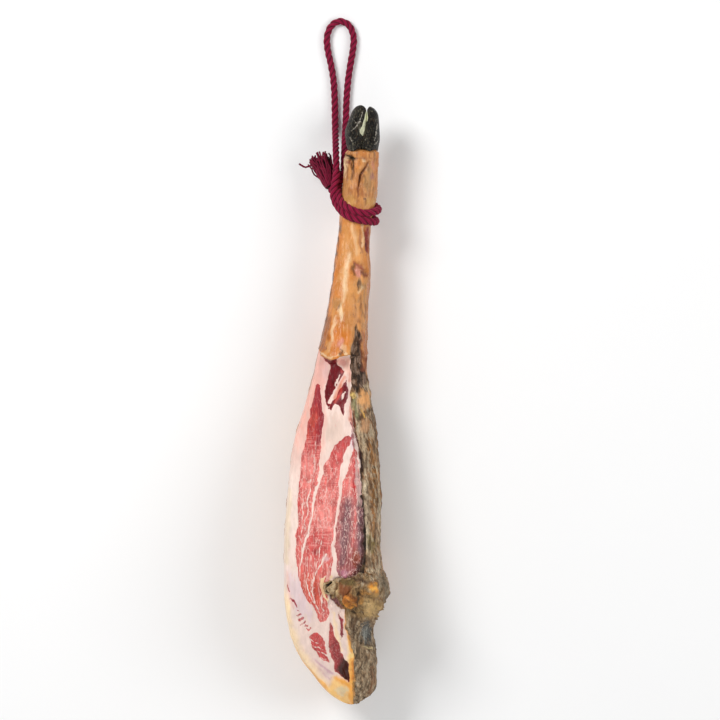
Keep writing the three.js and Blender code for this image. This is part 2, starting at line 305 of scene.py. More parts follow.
def grid_normals(x, y, z):
    """Outward directions over the ham's grid, whose columns close into rings."""
    points = np.stack([x, y, z], axis=-1)
    across = np.roll(points, -1, axis=1) - np.roll(points, 1, axis=1)
    along = np.gradient(points, axis=0)
    normals = np.cross(along, across)
    return normals / np.maximum(np.linalg.norm(normals, axis=-1, keepdims=True), 1e-9)


def cloud(x, y, z, size, stretch=1.0, octaves=3, seed=0.0):
    """Fractal noise from about -1 to 1 over places in millimetres, drawn out along y."""
    flat = zip(x.ravel() / size, y.ravel() / (size * stretch), z.ravel() / size + seed)
    values = [noise.fractal(Vector(place), 1.0, 2.0, octaves) for place in flat]
    return np.clip(np.array(values).reshape(x.shape) * 1.5, -1, 1)


def photo_place(x, y):
    """The photograph's pixel over a place of the ham."""
    return PHOTO_MIDDLE[0] + x / PIXEL, PHOTO_MIDDLE[1] - y / PIXEL


def line_nearness(u, v, line):
    """How far each pixel is from a line, less the line's half width there; line holds (u, v, width)."""
    nearest = np.full(u.shape, 1e6)
    for (u0, v0, w0), (u1, v1, w1) in zip(line, line[1:]):
        length = (u1 - u0) ** 2 + (v1 - v0) ** 2
        share = np.clip(((u - u0) * (u1 - u0) + (v - v0) * (v1 - v0)) / length, 0, 1)
        away = np.hypot(u - blend(u0, u1, share), v - blend(v0, v1, share))
        nearest = np.minimum(nearest, away - blend(w0, w1, share) / 2)
    return nearest


def depth_inside(u, v, outline):
    """How deep each pixel lies inside a closed outline; less than zero outside it."""
    closed = [(u0, v0, 0) for u0, v0 in outline + outline[:1]]
    inside = np.zeros(u.shape, bool)
    for (u0, v0, _), (u1, v1, _) in zip(closed, closed[1:]):
        crosses = (v0 > v) != (v1 > v)
        rise = v1 - v0 if v1 != v0 else 1e-9
        inside ^= crosses & (u < (u1 - u0) * (v - v0) / rise + u0)
    away = line_nearness(u, v, closed)
    return np.where(inside, away, -away)


def spot(u, v, middle, radii, turn=0.0, uneven=0.0):
    """A soft patch: 1 in the middle, 0 at its radii, turned by degrees, with its edge moved by uneven."""
    cos = math.cos(math.radians(turn))
    sin = math.sin(math.radians(turn))
    across = ((u - middle[0]) * cos + (v - middle[1]) * sin) / radii[0]
    along = ((v - middle[1]) * cos - (u - middle[0]) * sin) / radii[1]
    inward = 1 - np.hypot(across, along)
    return smooth(inward + uneven * np.clip(inward + 0.4, 0, 0.6) * 1.6, 0, 0.6)


# Outlines on the carved face, in the photograph's pixels
FLESH_OUTLINE = [
    (300, 344), (318, 347), (320.5, 355), (325, 358.4), (330, 360), (333.6, 360.2), (338, 358.2),
    (342, 356.4), (350.5, 355.4), (350.8, 379), (350.5, 400), (351.6, 411), (352.4, 429), (355.4, 444),
    (358.4, 462),
    (359.4, 480), (360, 497), (361.2, 512), (362.3, 527), (362.6, 543), (362.2, 560), (360, 569),
    (353, 575), (341, 577.5), (334, 577), (330, 581), (330, 596), (335, 603), (343.5, 609), (348, 632),
    (350.4, 643), (354.4, 653.7), (352.7, 683.5), (353.8, 704), (350, 714), (260, 714), (260, 344),
]
LEFT_MUSCLE = [
    (318, 383.5), (315.7, 386), (312.8, 400), (309.6, 416), (306.8, 431), (303.4, 449), (301.2, 463),
    (299.7, 480), (298.4, 500), (297.3, 526), (295.9, 545), (296, 560), (299, 576), (303.5, 588),
    (306.7, 596), (312, 603), (317, 613), (320.5, 622), (326.5, 619), (329.7, 611), (327, 599),
    (328.5, 588), (330.5, 575), (332, 562), (331.6, 551), (333, 539), (334.3, 526), (336.8, 510),
    (338.4, 493), (340, 476), (341.2, 466), (343, 456), (346.5, 449), (350, 444), (351.6, 438),
    (348, 435), (341, 440), (334.5, 446), (328.8, 455.5), (324.6, 465), (320.6, 479), (318.6, 466),
    (320.4, 448), (322.5, 432), (323.6, 416), (321, 403), (320.6, 388), (319.6, 384),
]
PURPLE_MUSCLE = [
    (353.6, 446), (352.3, 452), (348.8, 462), (344.6, 476), (341.8, 490), (340, 505), (337.8, 520),
    (335.8, 535), (335.4, 545), (336.6, 558), (336, 571), (341, 577.5), (353, 575), (360, 569),
    (362.2, 560), (362.6, 543), (361.2, 512), (359.6, 493), (358.4, 470), (356, 452),
]
LEFT_BLOB = [
    (325.5, 360), (336, 360.5), (337.5, 365.5), (341, 369.5), (344.8, 370.8), (343.6, 374.5),
    (340.4, 379), (336.6, 384), (333.6, 391), (330.5, 397), (327.4, 401.8), (330, 404), (328.4, 406),
    (325.4, 403), (324.7, 397), (325.8, 386), (327.6, 376.5), (329.6, 369), (329.8, 364.5),
]
RIGHT_BLOB = [
    (346.5, 379), (347.4, 389), (347.2, 396), (345.6, 402), (343.6, 405), (344.9, 411), (343.6, 416),
    (341.7, 414), (339, 406.5), (334.6, 404.5), (330, 410), (328, 407.6), (332.2, 400.5),
    (336.6, 397.5), (337.6, 391.5), (341.4, 388), (344.2, 384),
]
UNDER_CUFF = [(322, 354), (326, 358.5), (331, 360.5), (336, 358.8), (338, 362), (331, 364.5), (325, 361)]
SMALL_MUSCLE = [
    (308.9, 635), (314, 632), (318.8, 631.6), (322, 635.5), (324.6, 641), (326.2, 650), (328, 656.5),
    (330.7, 661.8), (323.7, 658.8), (317.6, 654), (313.2, 647), (311.6, 640.5),
]
LOWER_MUSCLE = [
    (329.2, 625), (331.8, 620.6), (333.6, 627.4), (335.4, 634.4), (339, 641), (341.4, 652), (345, 659),
    (349.2, 663), (348.9, 671), (350.2, 680), (349.3, 682), (345, 679.4), (339.7, 676.4), (335.3, 671.6),
    (333.6, 663), (331, 657), (329.4, 644), (328.8, 632),
]
YELLOW_END = [
    (334, 677), (341, 680.8), (347, 683.2), (351.5, 684), (353.5, 695), (353.8, 705), (350, 714),
    (330, 714), (324, 697),
]
CRUST_OUTLINE = [
    (356, 324), (352.8, 338), (350.8, 352), (350, 380), (349.6, 400), (350.2, 411), (350.6, 429),
    (353.6, 444), (356.6, 462), (357.6, 480), (358.4, 497), (359.4, 512), (360.4, 527), (360.8, 543),
    (360.4, 560), (358, 568), (353, 573), (341, 576), (334, 577), (327, 582), (326, 592), (330, 601),
    (343.5, 609), (348, 632), (350.4, 643), (354.4, 653.7), (352.7, 683.5), (353.8, 704), (350, 716),
    (420, 716), (420, 384), (369, 382), (366, 366), (362.5, 349), (359, 334),
]

# Lines of fat between and inside the muscles: u, v and width in the photograph's pixels
FAT_LINES = [
    [(323.4, 455, 4.4), (319.4, 476, 2.4), (315.8, 493, 2.2), (313.4, 510, 2), (309.4, 526, 2),
     (304.8, 543, 1.7), (300.8, 559, 1.3), (299.6, 570, 0.5)],
    [(313, 441, 0.1), (312.2, 452, 0.6), (311.4, 466, 0.4)],
    [(316.8, 438, 0.1), (315.8, 452, 0.4), (315, 464, 0.6), (312.6, 486, 0.4)],
    [(311.4, 480, 0.7), (309.6, 492, 1.1), (308, 504, 0.8), (304.4, 530, 0.5), (302.6, 542, 0.2)],
    [(305, 488, 0.2), (303.6, 505, 0.6), (301.6, 528, 0.5), (299.8, 545, 0.2)],
    [(327.6, 478, 0.2), (326, 492, 0.8), (324.4, 510, 0.3)],
    [(322.4, 534, 0.1), (320.6, 548, 0.8), (318.2, 560, 0.7), (314.4, 572, 0.7), (311.6, 584, 0.6)],
    [(326, 553, 1.2), (322.6, 560, 1.4), (318.4, 568, 0.9), (314, 578, 0.9), (312.8, 590, 1.1),
     (315.6, 602, 1.2), (320, 612, 0.8)],
    [(308.4, 568, 0.3), (308, 582, 0.9), (310.8, 594, 0.8), (316, 606, 0.3)],
    [(326, 574, 0.6), (322.8, 579, 3.2), (321.8, 586, 4.4), (323.4, 592, 3.4), (327, 599, 1.4),
     (328.6, 604, 0.5)],
    [(321.4, 590, 0.4), (321.8, 599, 1.1), (323.6, 611, 0.5)],
    [(347.4, 505, 0.2), (345, 530, 0.5), (343.4, 548, 0.3)],
    [(339.6, 375.5, 0.4), (336.8, 380.5, 1.7), (334.6, 386, 0.8)],
    [(344.4, 392, 0.5), (343, 396, 2.2), (342.4, 399, 0.6)],
    [(310.4, 637.6, 0.4), (316, 641.4, 0.8), (319, 643, 0.3)],
    [(312.6, 644, 0.5), (319, 647.4, 0.9), (324, 649.6, 0.4)],
    [(316, 650, 0.4), (322, 652.6, 0.9), (327.4, 655, 0.5)],
    [(318.6, 655.4, 0.4), (324, 657.6, 0.8), (329, 659.6, 0.4)],
]
STREAKS = [
    [(339, 613, 0.8), (341.4, 619, 2.8), (342.8, 626, 3.4), (341.8, 633, 3), (341, 638, 0.8)],
    [(346.2, 380, 0.6), (343, 392, 1.4), (340.5, 402, 2)],
    [(350.2, 422, 0.3), (351.2, 432, 1), (352.2, 444, 0.5)],
]
# Short bars of lean that show in a row through the lower fat
BARS = [
    [(288.8, 583, 1), (290.4, 590, 1.2)], [(291.2, 596, 1.3), (293.6, 599.4, 1.6)],
    [(294, 600.6, 1.1), (296.6, 605.4, 1.2)], [(297, 608.4, 1), (299.4, 609.6, 1.1)],
    [(298.2, 614.4, 1.7), (301.4, 612.6, 2)], [(299.2, 618.4, 1.8), (303.6, 616, 2.2)],
    [(301.4, 622.4, 1.8), (305, 620, 2.2)], [(304, 625.8, 1.6), (306, 623.6, 1.8)],
    [(307, 625.4, 1), (308.6, 623.8, 1.2)], [(306.6, 627.2, 1), (309.4, 629, 1.2)],
    [(309.6, 629, 1.2), (311.2, 626.4, 1.3)],
]
DRIED_EDGE = [(335, 577, 1), (345, 577, 1.6), (353, 574, 4.4), (359.6, 568, 5), (362, 558, 2.4)]
DRIED_END = [(345, 661, 6), (343.6, 669, 11), (346, 677, 8)]
# The groove along the crust's rim, sunk into the relief and painted black: painted shade of the recess
SHADOWED_GROOVE = [
    (352.8, 414, 0.8), (353.8, 427, 1.6), (356.6, 444, 2.4), (359.6, 462, 2.6), (360.6, 480, 2.6),
    (361.2, 497, 3), (362.6, 512, 3.6), (363.8, 527, 4), (364.2, 543, 4.2), (364, 560, 4.4),
    (361.6, 570, 3),
]
# The flesh's edge beside that groove, painted dark: painted shade that widens the groove's shadow
GROOVE_SHADE_SIDE = [(361.4, 494, 1), (362.4, 512, 2), (363, 530, 2.6), (363.2, 550, 3), (362.4, 564, 3)]

# Screen colours of the cut flesh, as linear takes them
LEAN_RED = (192, 72, 70)
LEAN_ROSE = (212, 106, 99)
LEAN_PINK = (226, 132, 124)
LEAN_WINE = (106, 10, 22)
LEAN_PURPLE = (150, 86, 86)
LEAN_GREY = (108, 78, 84)
LEAN_SCARLET = (182, 34, 38)
# Dried lean, also used as painted shade beside the crust's groove
LEAN_DRIED_AND_SHADOW = (66, 26, 16)
LEAN_DARK = (138, 34, 38)
LEAN_RUST = (142, 66, 46)
LEAN_ORANGE = (206, 86, 68)
# Colours of the fat
FAT_CREAM = (238, 212, 200)
FAT_SALMON = (236, 172, 156)
FAT_BLUSH = (230, 176, 164)
FAT_WHITE = (236, 214, 202)
FAT_LILAC = (222, 198, 202)
FAT_YELLOW = (252, 220, 170)
FAT_ORANGE = (244, 172, 78)
FAT_CORAL = (216, 118, 82)
FAT_BEIGE = (222, 200, 160)
# Colours of the rind
RIND_GOLD = (214, 148, 84)
RIND_AMBER = (204, 122, 52)
RIND_FOOT = (194, 136, 82)
RIND_PALE_AND_HIGHLIGHT = (240, 206, 162)
RIND_BROWN = (156, 94, 54)
RIND_EDGE = (98, 66, 48)
# Pale rind, which also paints the highlights on the shank and the cuff
RIND_OLIVE = (150, 118, 78)
RIND_WINE = (142, 56, 44)
RIND_ROSE = (214, 142, 122)
RIND_HOLE = (48, 36, 24)
# Colours of the crust
CRUST_GREY = (176, 152, 122)
CRUST_BROWN = (144, 95, 52)
CRUST_DARK = (78, 56, 40)
CRUST_BLACK = (36, 27, 22)
CRUST_PALE = (204, 188, 160)
CRUST_STEEL = (100, 102, 100)
CRUST_TAN = (200, 164, 110)
CRUST_HAIR = (150, 126, 98)
CRUST_OLIVE = (126, 112, 64)
KNOB_AMBER = (232, 152, 58)
KNOB_RUST = (132, 74, 42)


# Patterns over the ham, as HamPlaces takes them: size in millimetres, stretch along it, octaves, seed
PATTERNS = [
    (42, 1.3, 3, 21.0), (14, 1.4, 3, 31.0), (5, 1.2, 3, 41.0), (5, 7.0, 3, 51.0), (3.6, 9.0, 3, 61.0),
    (4.2, 2.6, 4, 71.0), (9, 1.6, 3, 5.0), (9, 1.6, 3, 11.0),
]
WARP = 1.1  # pixels that every painted edge wanders by
COARSE_FROM = 14  # millimetres below an edge at which the points lie too far apart for fine streaks


class HamPlaces:
    """Where each point of the ham lies, as every relief and every stroke needs it."""

    def __init__(self, x, y, z, parts, normals):
        self.x = x
        self.y = y
        self.z = z
        self.normals = normals
        lower_left = (parts == "lower left")[None, :]
        lower_right = (parts == "lower right")[None, :]
        right = right_side(y)
        left = left_side(y)
        from_right = np.hypot(x - right, z - widest_right(y))
        from_left = np.hypot(x - left, z - widest_left(y))
        unrolled = np.where(lower_right, right + from_right, np.where(lower_left, left - from_left, x))
        self.from_left_edge = np.where(lower_left, -from_left, x - left)
        self.from_right_edge = np.where(lower_right, -from_right, right - x)
        self.lower_right = lower_right & np.ones(x.shape, bool)
        self.lower_left = lower_left & np.ones(x.shape, bool)
        patterns = [cloud(x, y, z, *pattern) for pattern in PATTERNS]
        self.coarse, self.middling, self.fine, drawn, streaks, tufts, shift_u, shift_v = patterns
        below = smooth(-np.minimum(self.from_right_edge, self.from_left_edge), 0, COARSE_FROM)
        self.drawn = blend(drawn, self.middling * 0.8, below * 0.7)
        self.streaks = blend(streaks, self.middling * 0.9, below * 0.8)
        self.tufts = blend(tufts, self.middling * 0.7, below * 0.6)
        u, v = photo_place(unrolled, y)
        self.u = u + shift_u * WARP
        self.v = v + shift_v * WARP

    def spot(self, middle, radii, turn=0.0):
        """A patch with a broken edge round a pixel of the photograph."""
        return spot(self.u, self.v, middle, radii, turn, self.tufts * 0.34 + self.middling * 0.14)

    def line(self, line, softness=1.0):
        """1 on a line of the photograph and 0 beside it."""
        away = line_nearness(self.u, self.v, line) + self.tufts * 0.4
        return smooth(-away, -softness, softness * 0.5)

    def inside(self, outline, softness=2.0):
        """1 inside an outline of the photograph, with a soft edge."""
        return smooth(depth_inside(self.u, self.v, outline), -softness, softness)

    def shape(self, first, *rest):
        """A spot if it starts with a pixel, a line if its points have widths, or else an outline."""
        if isinstance(first, tuple):
            return self.spot(first, *rest)
        if len(first[0]) == 3:
            return self.line(first, *rest)
        return self.inside(first, *rest)

    def shapes(self, rows):
        """A list of shapes, each times the number that its row starts with."""
        return [self.shape(*row) * factor for factor, *row in rows]

    def painted(self, ground, strokes):
        """Tones of a ground colour with strokes laid over it in order.

        A stroke is a colour, an amount and, where it has one, what shape takes.
        """
        tone = np.empty(self.x.shape + (3,))
        tone[:] = linear(*ground)
        for colour, amount, *row in strokes:
            share = self.shape(*row) * amount if row else amount
            tone += (np.array(linear(*colour)) - tone) * np.clip(share, 0, 1)[..., None]
        return tone


def crust_share(at):
    """Where the ham is covered by dried, mouldy crust: 1 on the crust and 0 on rind."""
    upper = smooth(depth_inside(at.u, at.v, CRUST_OUTLINE) + at.middling * 1.2, -0.8, 0.8)
    turned_under = smooth(at.from_right_edge + 62 + at.coarse * 16 + at.middling * 14, -16, 16)
    below_cuff = smooth(at.v + at.coarse * 5, 384, 398)
    under = turned_under * below_cuff
    return np.where(at.lower_right, under, np.where(at.lower_left, 0, upper))


# Depth or height in millimetres, and the shape of each, in the photograph's pixels
DIPS = [
    (4.2, SHADOWED_GROOVE, 1.2),
    (3, [(369.5, 162, 1.2), (365.4, 168, 1.4), (360.6, 174, 1.6), (358.8, 186, 1)], 1.2),
    (6, (351.2, 156.8), (4.6, 3.2)),
    (4, (352.6, 164), (2.6, 5)),
    (2, [(352.4, 167, 1.4), (352.6, 178, 0.6)], 1.4),
    (1.1, [(346, 157, 1), (362, 157.5, 1.4), (377, 158, 0.6)], 1.4),
    (2.2, [(364.4, 230, 1), (367, 240, 2.4), (367.6, 250, 1)], 1.6),
    (1.4, (359, 268), (8, 8)),
    (1.8, (353.8, 270), (3, 5)),
    (1.8, (364.4, 273), (3, 4)),
    (1.2, (359.6, 286), (5, 5)),
    (2.6, [(356, 326), (350.8, 356), (350.6, 386), (367, 386), (363, 350)], 3),
    (3.5, (331, 587), (6.5, 7.5)),
    (4, (360, 590), (5, 8), 20),
    (2.5, (361, 577), (9, 4), -12),
    (2.5, (334, 600), (7, 5), -30),
    (2.6, (345, 612), (6, 8), 30),
    (3.4, (367, 635), (13, 18)),
    (2.2, (347, 672), (5, 11)),
]
RISES = [
    (4.5, (350, 598.5), (8, 6.5), -20),
    (3.4, (373, 588), (8, 8), 20),
    (2.8, (344, 587), (8, 7)),
    (2.6, (370, 607), (12, 12), 30),
    (1.8, (353, 395.5), (4, 4)),
    (1.4, (364, 400), (7, 12)),
    (1.8, (346.5, 161), (3.4, 7), 8),
    (1.6, (361, 165), (5, 7), 35),
]
# Where bare fat and the knob make the crust smooth, and how smooth
BARE_PATCHES = [
    (0.75, (369, 606), (14, 17), 20), (1, (373, 587), (9, 9)), (0.6, (350, 598), (9, 8)),
    (0.8, (344, 588), (11, 10)), (1, (364, 400), (8, 14)), (1, (333, 588), (9, 10)),
    (0.5, (365, 425), (5, 9)), (0.8, SHADOWED_GROOVE, 0.8),
]
# Where the knife's marks show, and how strongly
KNIFE_MARKS = [
    (1, (309, 447), (16, 17)), (0.7, (330, 480), (20, 26)), (1, (322, 536), (22, 22)),
    (0.8, (302, 620), (10, 12)),
]


def relief(at, crust, lean_depth, flesh):
    """Height in millimetres that the dried surface adds to the smooth ham."""
    upper = ~(at.lower_left | at.lower_right)
    rind = (1 - crust) * (1 - flesh)
    height = at.coarse * 0.9 * (1 - flesh) + (at.middling * 0.7 + at.drawn * 0.45) * rind
    height = height + crust * (at.streaks * 0.9 + at.drawn * 1.1 + at.middling * 1.3 + at.tufts * 0.4)
    height = height + rind * at.fine * 0.3
    slices = np.sin(at.y / 4.1 + at.coarse * 2.5 + at.x * 0.02)
    height = height + flesh * (slices * 0.16 + at.middling * 0.45)
    height = height - flesh * 0.5 * smooth(lean_depth, -0.6, 0.8)
    dips = sum(at.shapes(DIPS))
    rises = sum(at.shapes(RISES))
    cuff_lip = smooth(at.y - cuff_line(at.x), -1, 2) * smooth(cuff_line(at.x) + 14 - at.y, 0, 12)
    rises = rises + cuff_lip * 1.4 * (1 - crust)
    knob = at.spot((358, 600), (34, 28)) * crust
    rises = rises + knob * (at.middling * 2.2 + at.tufts * 0.6)
    return height + np.where(upper, rises - dips, 0)


def lean_depth_of(at):
    """How deep in millimetres each place lies inside lean meat; less than zero in fat."""
    shapes = [LEFT_MUSCLE, PURPLE_MUSCLE, LEFT_BLOB, RIGHT_BLOB, UNDER_CUFF, SMALL_MUSCLE, LOWER_MUSCLE]
    meat = [depth_inside(at.u, at.v, outline) for outline in shapes]
    meat += [-line_nearness(at.u, at.v, line) for line in STREAKS + BARS]
    fat = [line_nearness(at.u, at.v, line) for line in FAT_LINES]
    depth = np.minimum(np.max(meat, axis=0), np.min(fat, axis=0))
    return np.clip(depth * PIXEL, -DEPTH_REACH, DEPTH_REACH)


def lean_tones(at):
    """The colour of the lean meat over the whole ham."""
    blobs = np.maximum(at.inside(LEFT_BLOB, 1.5), at.inside(RIGHT_BLOB, 1.5))
    strokes = [
        ((176, 56, 56), smooth(at.v, 452, 430)),
        (LEAN_ORANGE, 0.5, (311, 425), (7, 24), 12),
        ((142, 40, 50), 0.8, [(319.5, 388, 3), (321, 404, 4), (321.6, 420, 5), (319.4, 444, 3)], 3),
        ((128, 40, 54), smooth(at.streaks, 0.05, 0.3) * smooth(at.v, 452, 430) * 0.55),
        (LEAN_ROSE, smooth(at.v + at.tufts * 4, 438, 466) * 0.9),
        (LEAN_PINK, 0.7, (307, 468), (11, 26)),
        (LEAN_RED, 0.8, [(300.4, 478, 2), (299, 510, 3), (298, 540, 2)], 2.5),
        (LEAN_RED, 0.85, (336, 453), (15, 18), -35),
        (LEAN_RED, 0.6, [(332, 462, 3), (334, 480, 3)], 3),
        (LEAN_PINK, 0.9, (325, 512), (14, 22), 12),
        (LEAN_SCARLET, 0.5, (320.6, 500), (2.6, 3.4)),
        (LEAN_RED, 0.75, (318, 546), (17, 18)),
        (LEAN_WINE, 0.4, (316, 551), (8, 4.4)),
        (LEAN_WINE, 0.35, [(322, 546, 0.6), (331, 548, 1)], 1.2),
        (FAT_LILAC, 0.6, (325, 557), (4.6, 4)),
        (LEAN_ORANGE, 0.85, (312, 590), (17, 28), -20),
        (LEAN_ROSE, 0.8, (350, 480), (9, 26)),
        (LEAN_PURPLE, at.inside(PURPLE_MUSCLE, 1) * smooth(at.v + at.tufts * 5, 486, 508) * 0.85),
        (LEAN_GREY, 0.7, [(348, 498, 3), (346.5, 520, 6), (343.5, 543, 7), (342, 562, 5)], 3),
        (LEAN_SCARLET, 0.9, [(353.8, 462, 2), (355, 480, 3.6), (355, 496, 2.4)], 2),
        (LEAN_ROSE, 0.8, [(355.6, 496, 1), (354.6, 520, 2), (352.6, 545, 1.4)], 1.6),
        (LEAN_GREY, 0.85, [(358.6, 500, 2), (360, 525, 4), (360, 555, 4.6)], 2.6),
        (LEAN_RUST, 0.9, (356, 557), (6.4, 12)),
        ((176, 116, 134), 0.8, (342, 571.4), (9, 6), 10),
        (LEAN_DRIED_AND_SHADOW, 0.95, DRIED_EDGE, 2.4),
        # Painted shade beside the crust's groove
        (LEAN_DRIED_AND_SHADOW, 0.95, GROOVE_SHADE_SIDE, 1.2),
        ((190, 158, 152), 0.85, [(355.2, 458, 0.8), (356.4, 466, 3), (357, 480, 3.6), (358, 492, 3.4),
         (359, 504, 2)], 1.2),
        (LEAN_WINE, np.maximum(blobs, at.inside(UNDER_CUFF, 2))),
        ((176, 44, 40), 0.8, (342, 371.5), (4, 3.4)),
        ((196, 62, 48), 0.75, [(341, 388, 1), (339.6, 395, 2.4), (334.6, 403, 1.4)], 2),
        ((132, 58, 78), 0.6, [(346.6, 380, 0.6), (347, 396, 1.4)], 1.6),
        (LEAN_RED, 1, SMALL_MUSCLE, 2),
        (LEAN_DARK, 0.9, LOWER_MUSCLE, 2),
        (LEAN_RED, 0.6, (331, 636), (3, 14)),
        (LEAN_DRIED_AND_SHADOW, 1, DRIED_END, 3),
        ((156, 52, 66), 0.9, (299, 606), (15, 30), -25),
        ((124, 34, 48), 0.9, STREAKS[0], 2),
        ((120, 70, 84), 0.9, STREAKS[2], 2),
    ]
    mottle = 1 + 0.14 * at.tufts + 0.16 * at.streaks
    return at.painted(LEAN_RED, strokes) * mottle[..., None]


def fat_tones(at):
    """The colour of the fat over the whole ham."""
    upper_left = smooth(at.v, 486, 420) * smooth(at.u, 328, 318)
    rim_width = 4 + 16 * smooth(at.v, 580, 690)
    rim = smooth(rim_width - at.from_left_edge + at.middling * 3, -3, rim_width * 0.8)
    outer = smooth(2.5 + 7 * smooth(at.v, 655, 690) - at.from_left_edge + at.middling * 2, -2, 3)
    cut_skin = smooth(1.6 - np.abs(at.from_left_edge), 0, 1) * smooth(at.v, 350, 356) * smooth(at.v, 404, 380)
    strokes = [
        (FAT_SALMON, upper_left * (0.8 + 0.3 * at.streaks)),
        (FAT_BLUSH, 0.9, (321, 372), (13, 22)),
        (FAT_LILAC, 0.25, (325, 372), (4, 12)),
        (FAT_CORAL, 0.6, [(348.6, 360, 2), (349.4, 380, 1.6)], 2),
        (FAT_CORAL, 0.75, [(350.2, 404, 1), (350.6, 418, 1.6), (352, 428, 1)], 1.6),
        (FAT_CORAL, 0.8, [(344.6, 377, 1.4), (340, 386, 3.4), (335, 398, 2.4)], 2.4),
        # Painted light: the fat just under the cuff is painted lighter to offset the shade that the cuff
        # casts there
        ((255, 216, 198), 1, [(340, 361, 6), (347, 362, 8), (347, 370, 4)], 3),
        ((238, 176, 164), 0.8, (342, 363), (7, 6)),
        ((222, 194, 178), 0.7, (334, 432), (16, 26)),
        (FAT_BLUSH, 0.5, [(325, 404, 1), (325, 424, 2), (322.6, 446, 1)], 2),
        (FAT_WHITE, smooth(at.v, 460, 500) * smooth(at.u, 302, 297) * 0.8),
        (FAT_BEIGE, 0.5, [(290.4, 490, 3), (287.8, 520, 4), (286.6, 560, 3)], 3),
        (FAT_LILAC, 0.7, (352, 440), (3, 10)),
        (FAT_BLUSH, 0.5, [(341.6, 478, 0.6), (338.6, 510, 0.6), (335, 545, 0.6)], 1.4),
        ((124, 44, 40), 0.85, [(351.2, 419, 0.8), (352, 431, 1.1), (352.9, 443, 1.3), (354, 451, 1.5),
         (355, 459, 1.2)], 0.8),
        (FAT_LILAC, 0.75, (300, 596), (12, 34), -25),
        ((220, 190, 186), 0.6, (322, 668), (18, 9), 45),
        ((196, 152, 164), 0.7, [(316, 660, 0.6), (324, 667, 1.4), (333, 674, 2)], 1.4),
        ((206, 168, 176), 0.6, [(312, 661, 0.4), (321, 671, 1), (331, 679, 0.8)], 1),
        (FAT_BLUSH, 0.5, [(288, 570, 1), (289.6, 590, 2), (293, 606, 1)], 2.4),
        ((240, 206, 160), 1, [(331, 575, 2), (323, 580, 5), (322, 588, 5), (327, 598, 2)], 2),
        (FAT_CORAL, 0.2, (321, 590), (4, 9)),
        (FAT_YELLOW, 0.7, [(334, 612, 1), (337, 632, 2), (341.5, 650, 2.5)], 2),
        (FAT_YELLOW, 1, [(346, 610, 2), (349, 632, 2.5), (352, 652, 5), (350, 660, 6)], 2.5),
        (FAT_ORANGE, 0.9, [(344.6, 612, 2), (347.6, 628, 2.4), (350.4, 642, 2.6), (353, 652, 2.6),
         (353.4, 664, 4)], 1.4),
        ((252, 214, 140), 1, (351.6, 654.6), (5, 3.6), -20),
        ((250, 186, 96), 1, [(351, 660, 4), (351.4, 672, 5), (351.4, 686, 6)], 1.6),
        ((200, 112, 48), 0.8, [(352.4, 661, 1.4), (352.6, 678, 2)], 1.6),
        (FAT_YELLOW, rim * smooth(at.v, 570, 606) * 0.8),
        (FAT_ORANGE, outer * smooth(at.v, 625, 668) * 0.8),
        ((254, 204, 128), 0.95, YELLOW_END, 3),
        (FAT_ORANGE, 1, [(336, 678, 2.4), (344, 682, 3.4), (351, 688, 4), (352.6, 704, 4)], 2.4),
        (FAT_ORANGE, 0.8, (350, 708), (12, 5)),
        ((228, 208, 170), 0.85, (341.6, 692), (8, 6.4), 40),
        (LEAN_DRIED_AND_SHADOW, 0.9, DRIED_EDGE, 2),
        # Painted shade beside the crust's groove
        (LEAN_DRIED_AND_SHADOW, 0.95, GROOVE_SHADE_SIDE, 1.2),
        ((136, 108, 84), cut_skin * 0.85),
    ]
    mottle = 1 + 0.04 * at.middling + 0.05 * at.streaks + 0.04 * at.tufts
    return at.painted(FAT_CREAM, strokes) * mottle[..., None]


# The glossy amber rind above the cut edge; its pale strokes are painted highlights of that gloss, down to the
# lip
CUFF_STROKES = [
    ((206, 120, 44), 1, (338, 338), (14, 28)),
    (RIND_BROWN, 0.95, (324.4, 334), (6, 30), 12),
    (RIND_PALE_AND_HIGHLIGHT, 0.75, [(336.4, 316, 0.6), (333.6, 326, 1.6), (332, 340, 1.2)], 1.8),
    (RIND_PALE_AND_HIGHLIGHT, 0.35, [(331, 342, 2), (329.4, 350, 2.6)], 2),
    (RIND_ROSE, 0.85, (341, 344), (5, 7)),
    (RIND_PALE_AND_HIGHLIGHT, 0.5, (344, 348), (4, 6)),
    (RIND_EDGE, 0.8, [(339, 356, 1), (343, 351.6, 1.8), (341, 350, 1)], 1.2),
    (RIND_PALE_AND_HIGHLIGHT, 0.8, (345.4, 354), (2.4, 2)),
    (RIND_PALE_AND_HIGHLIGHT, 0.7, [(320, 352, 0.8), (330, 358, 1.2), (338, 356, 0.8)], 1),
    (RIND_WINE, 0.5, [(362.6, 332, 1), (364.6, 345, 2.4), (367, 368, 2.6)], 2),
]


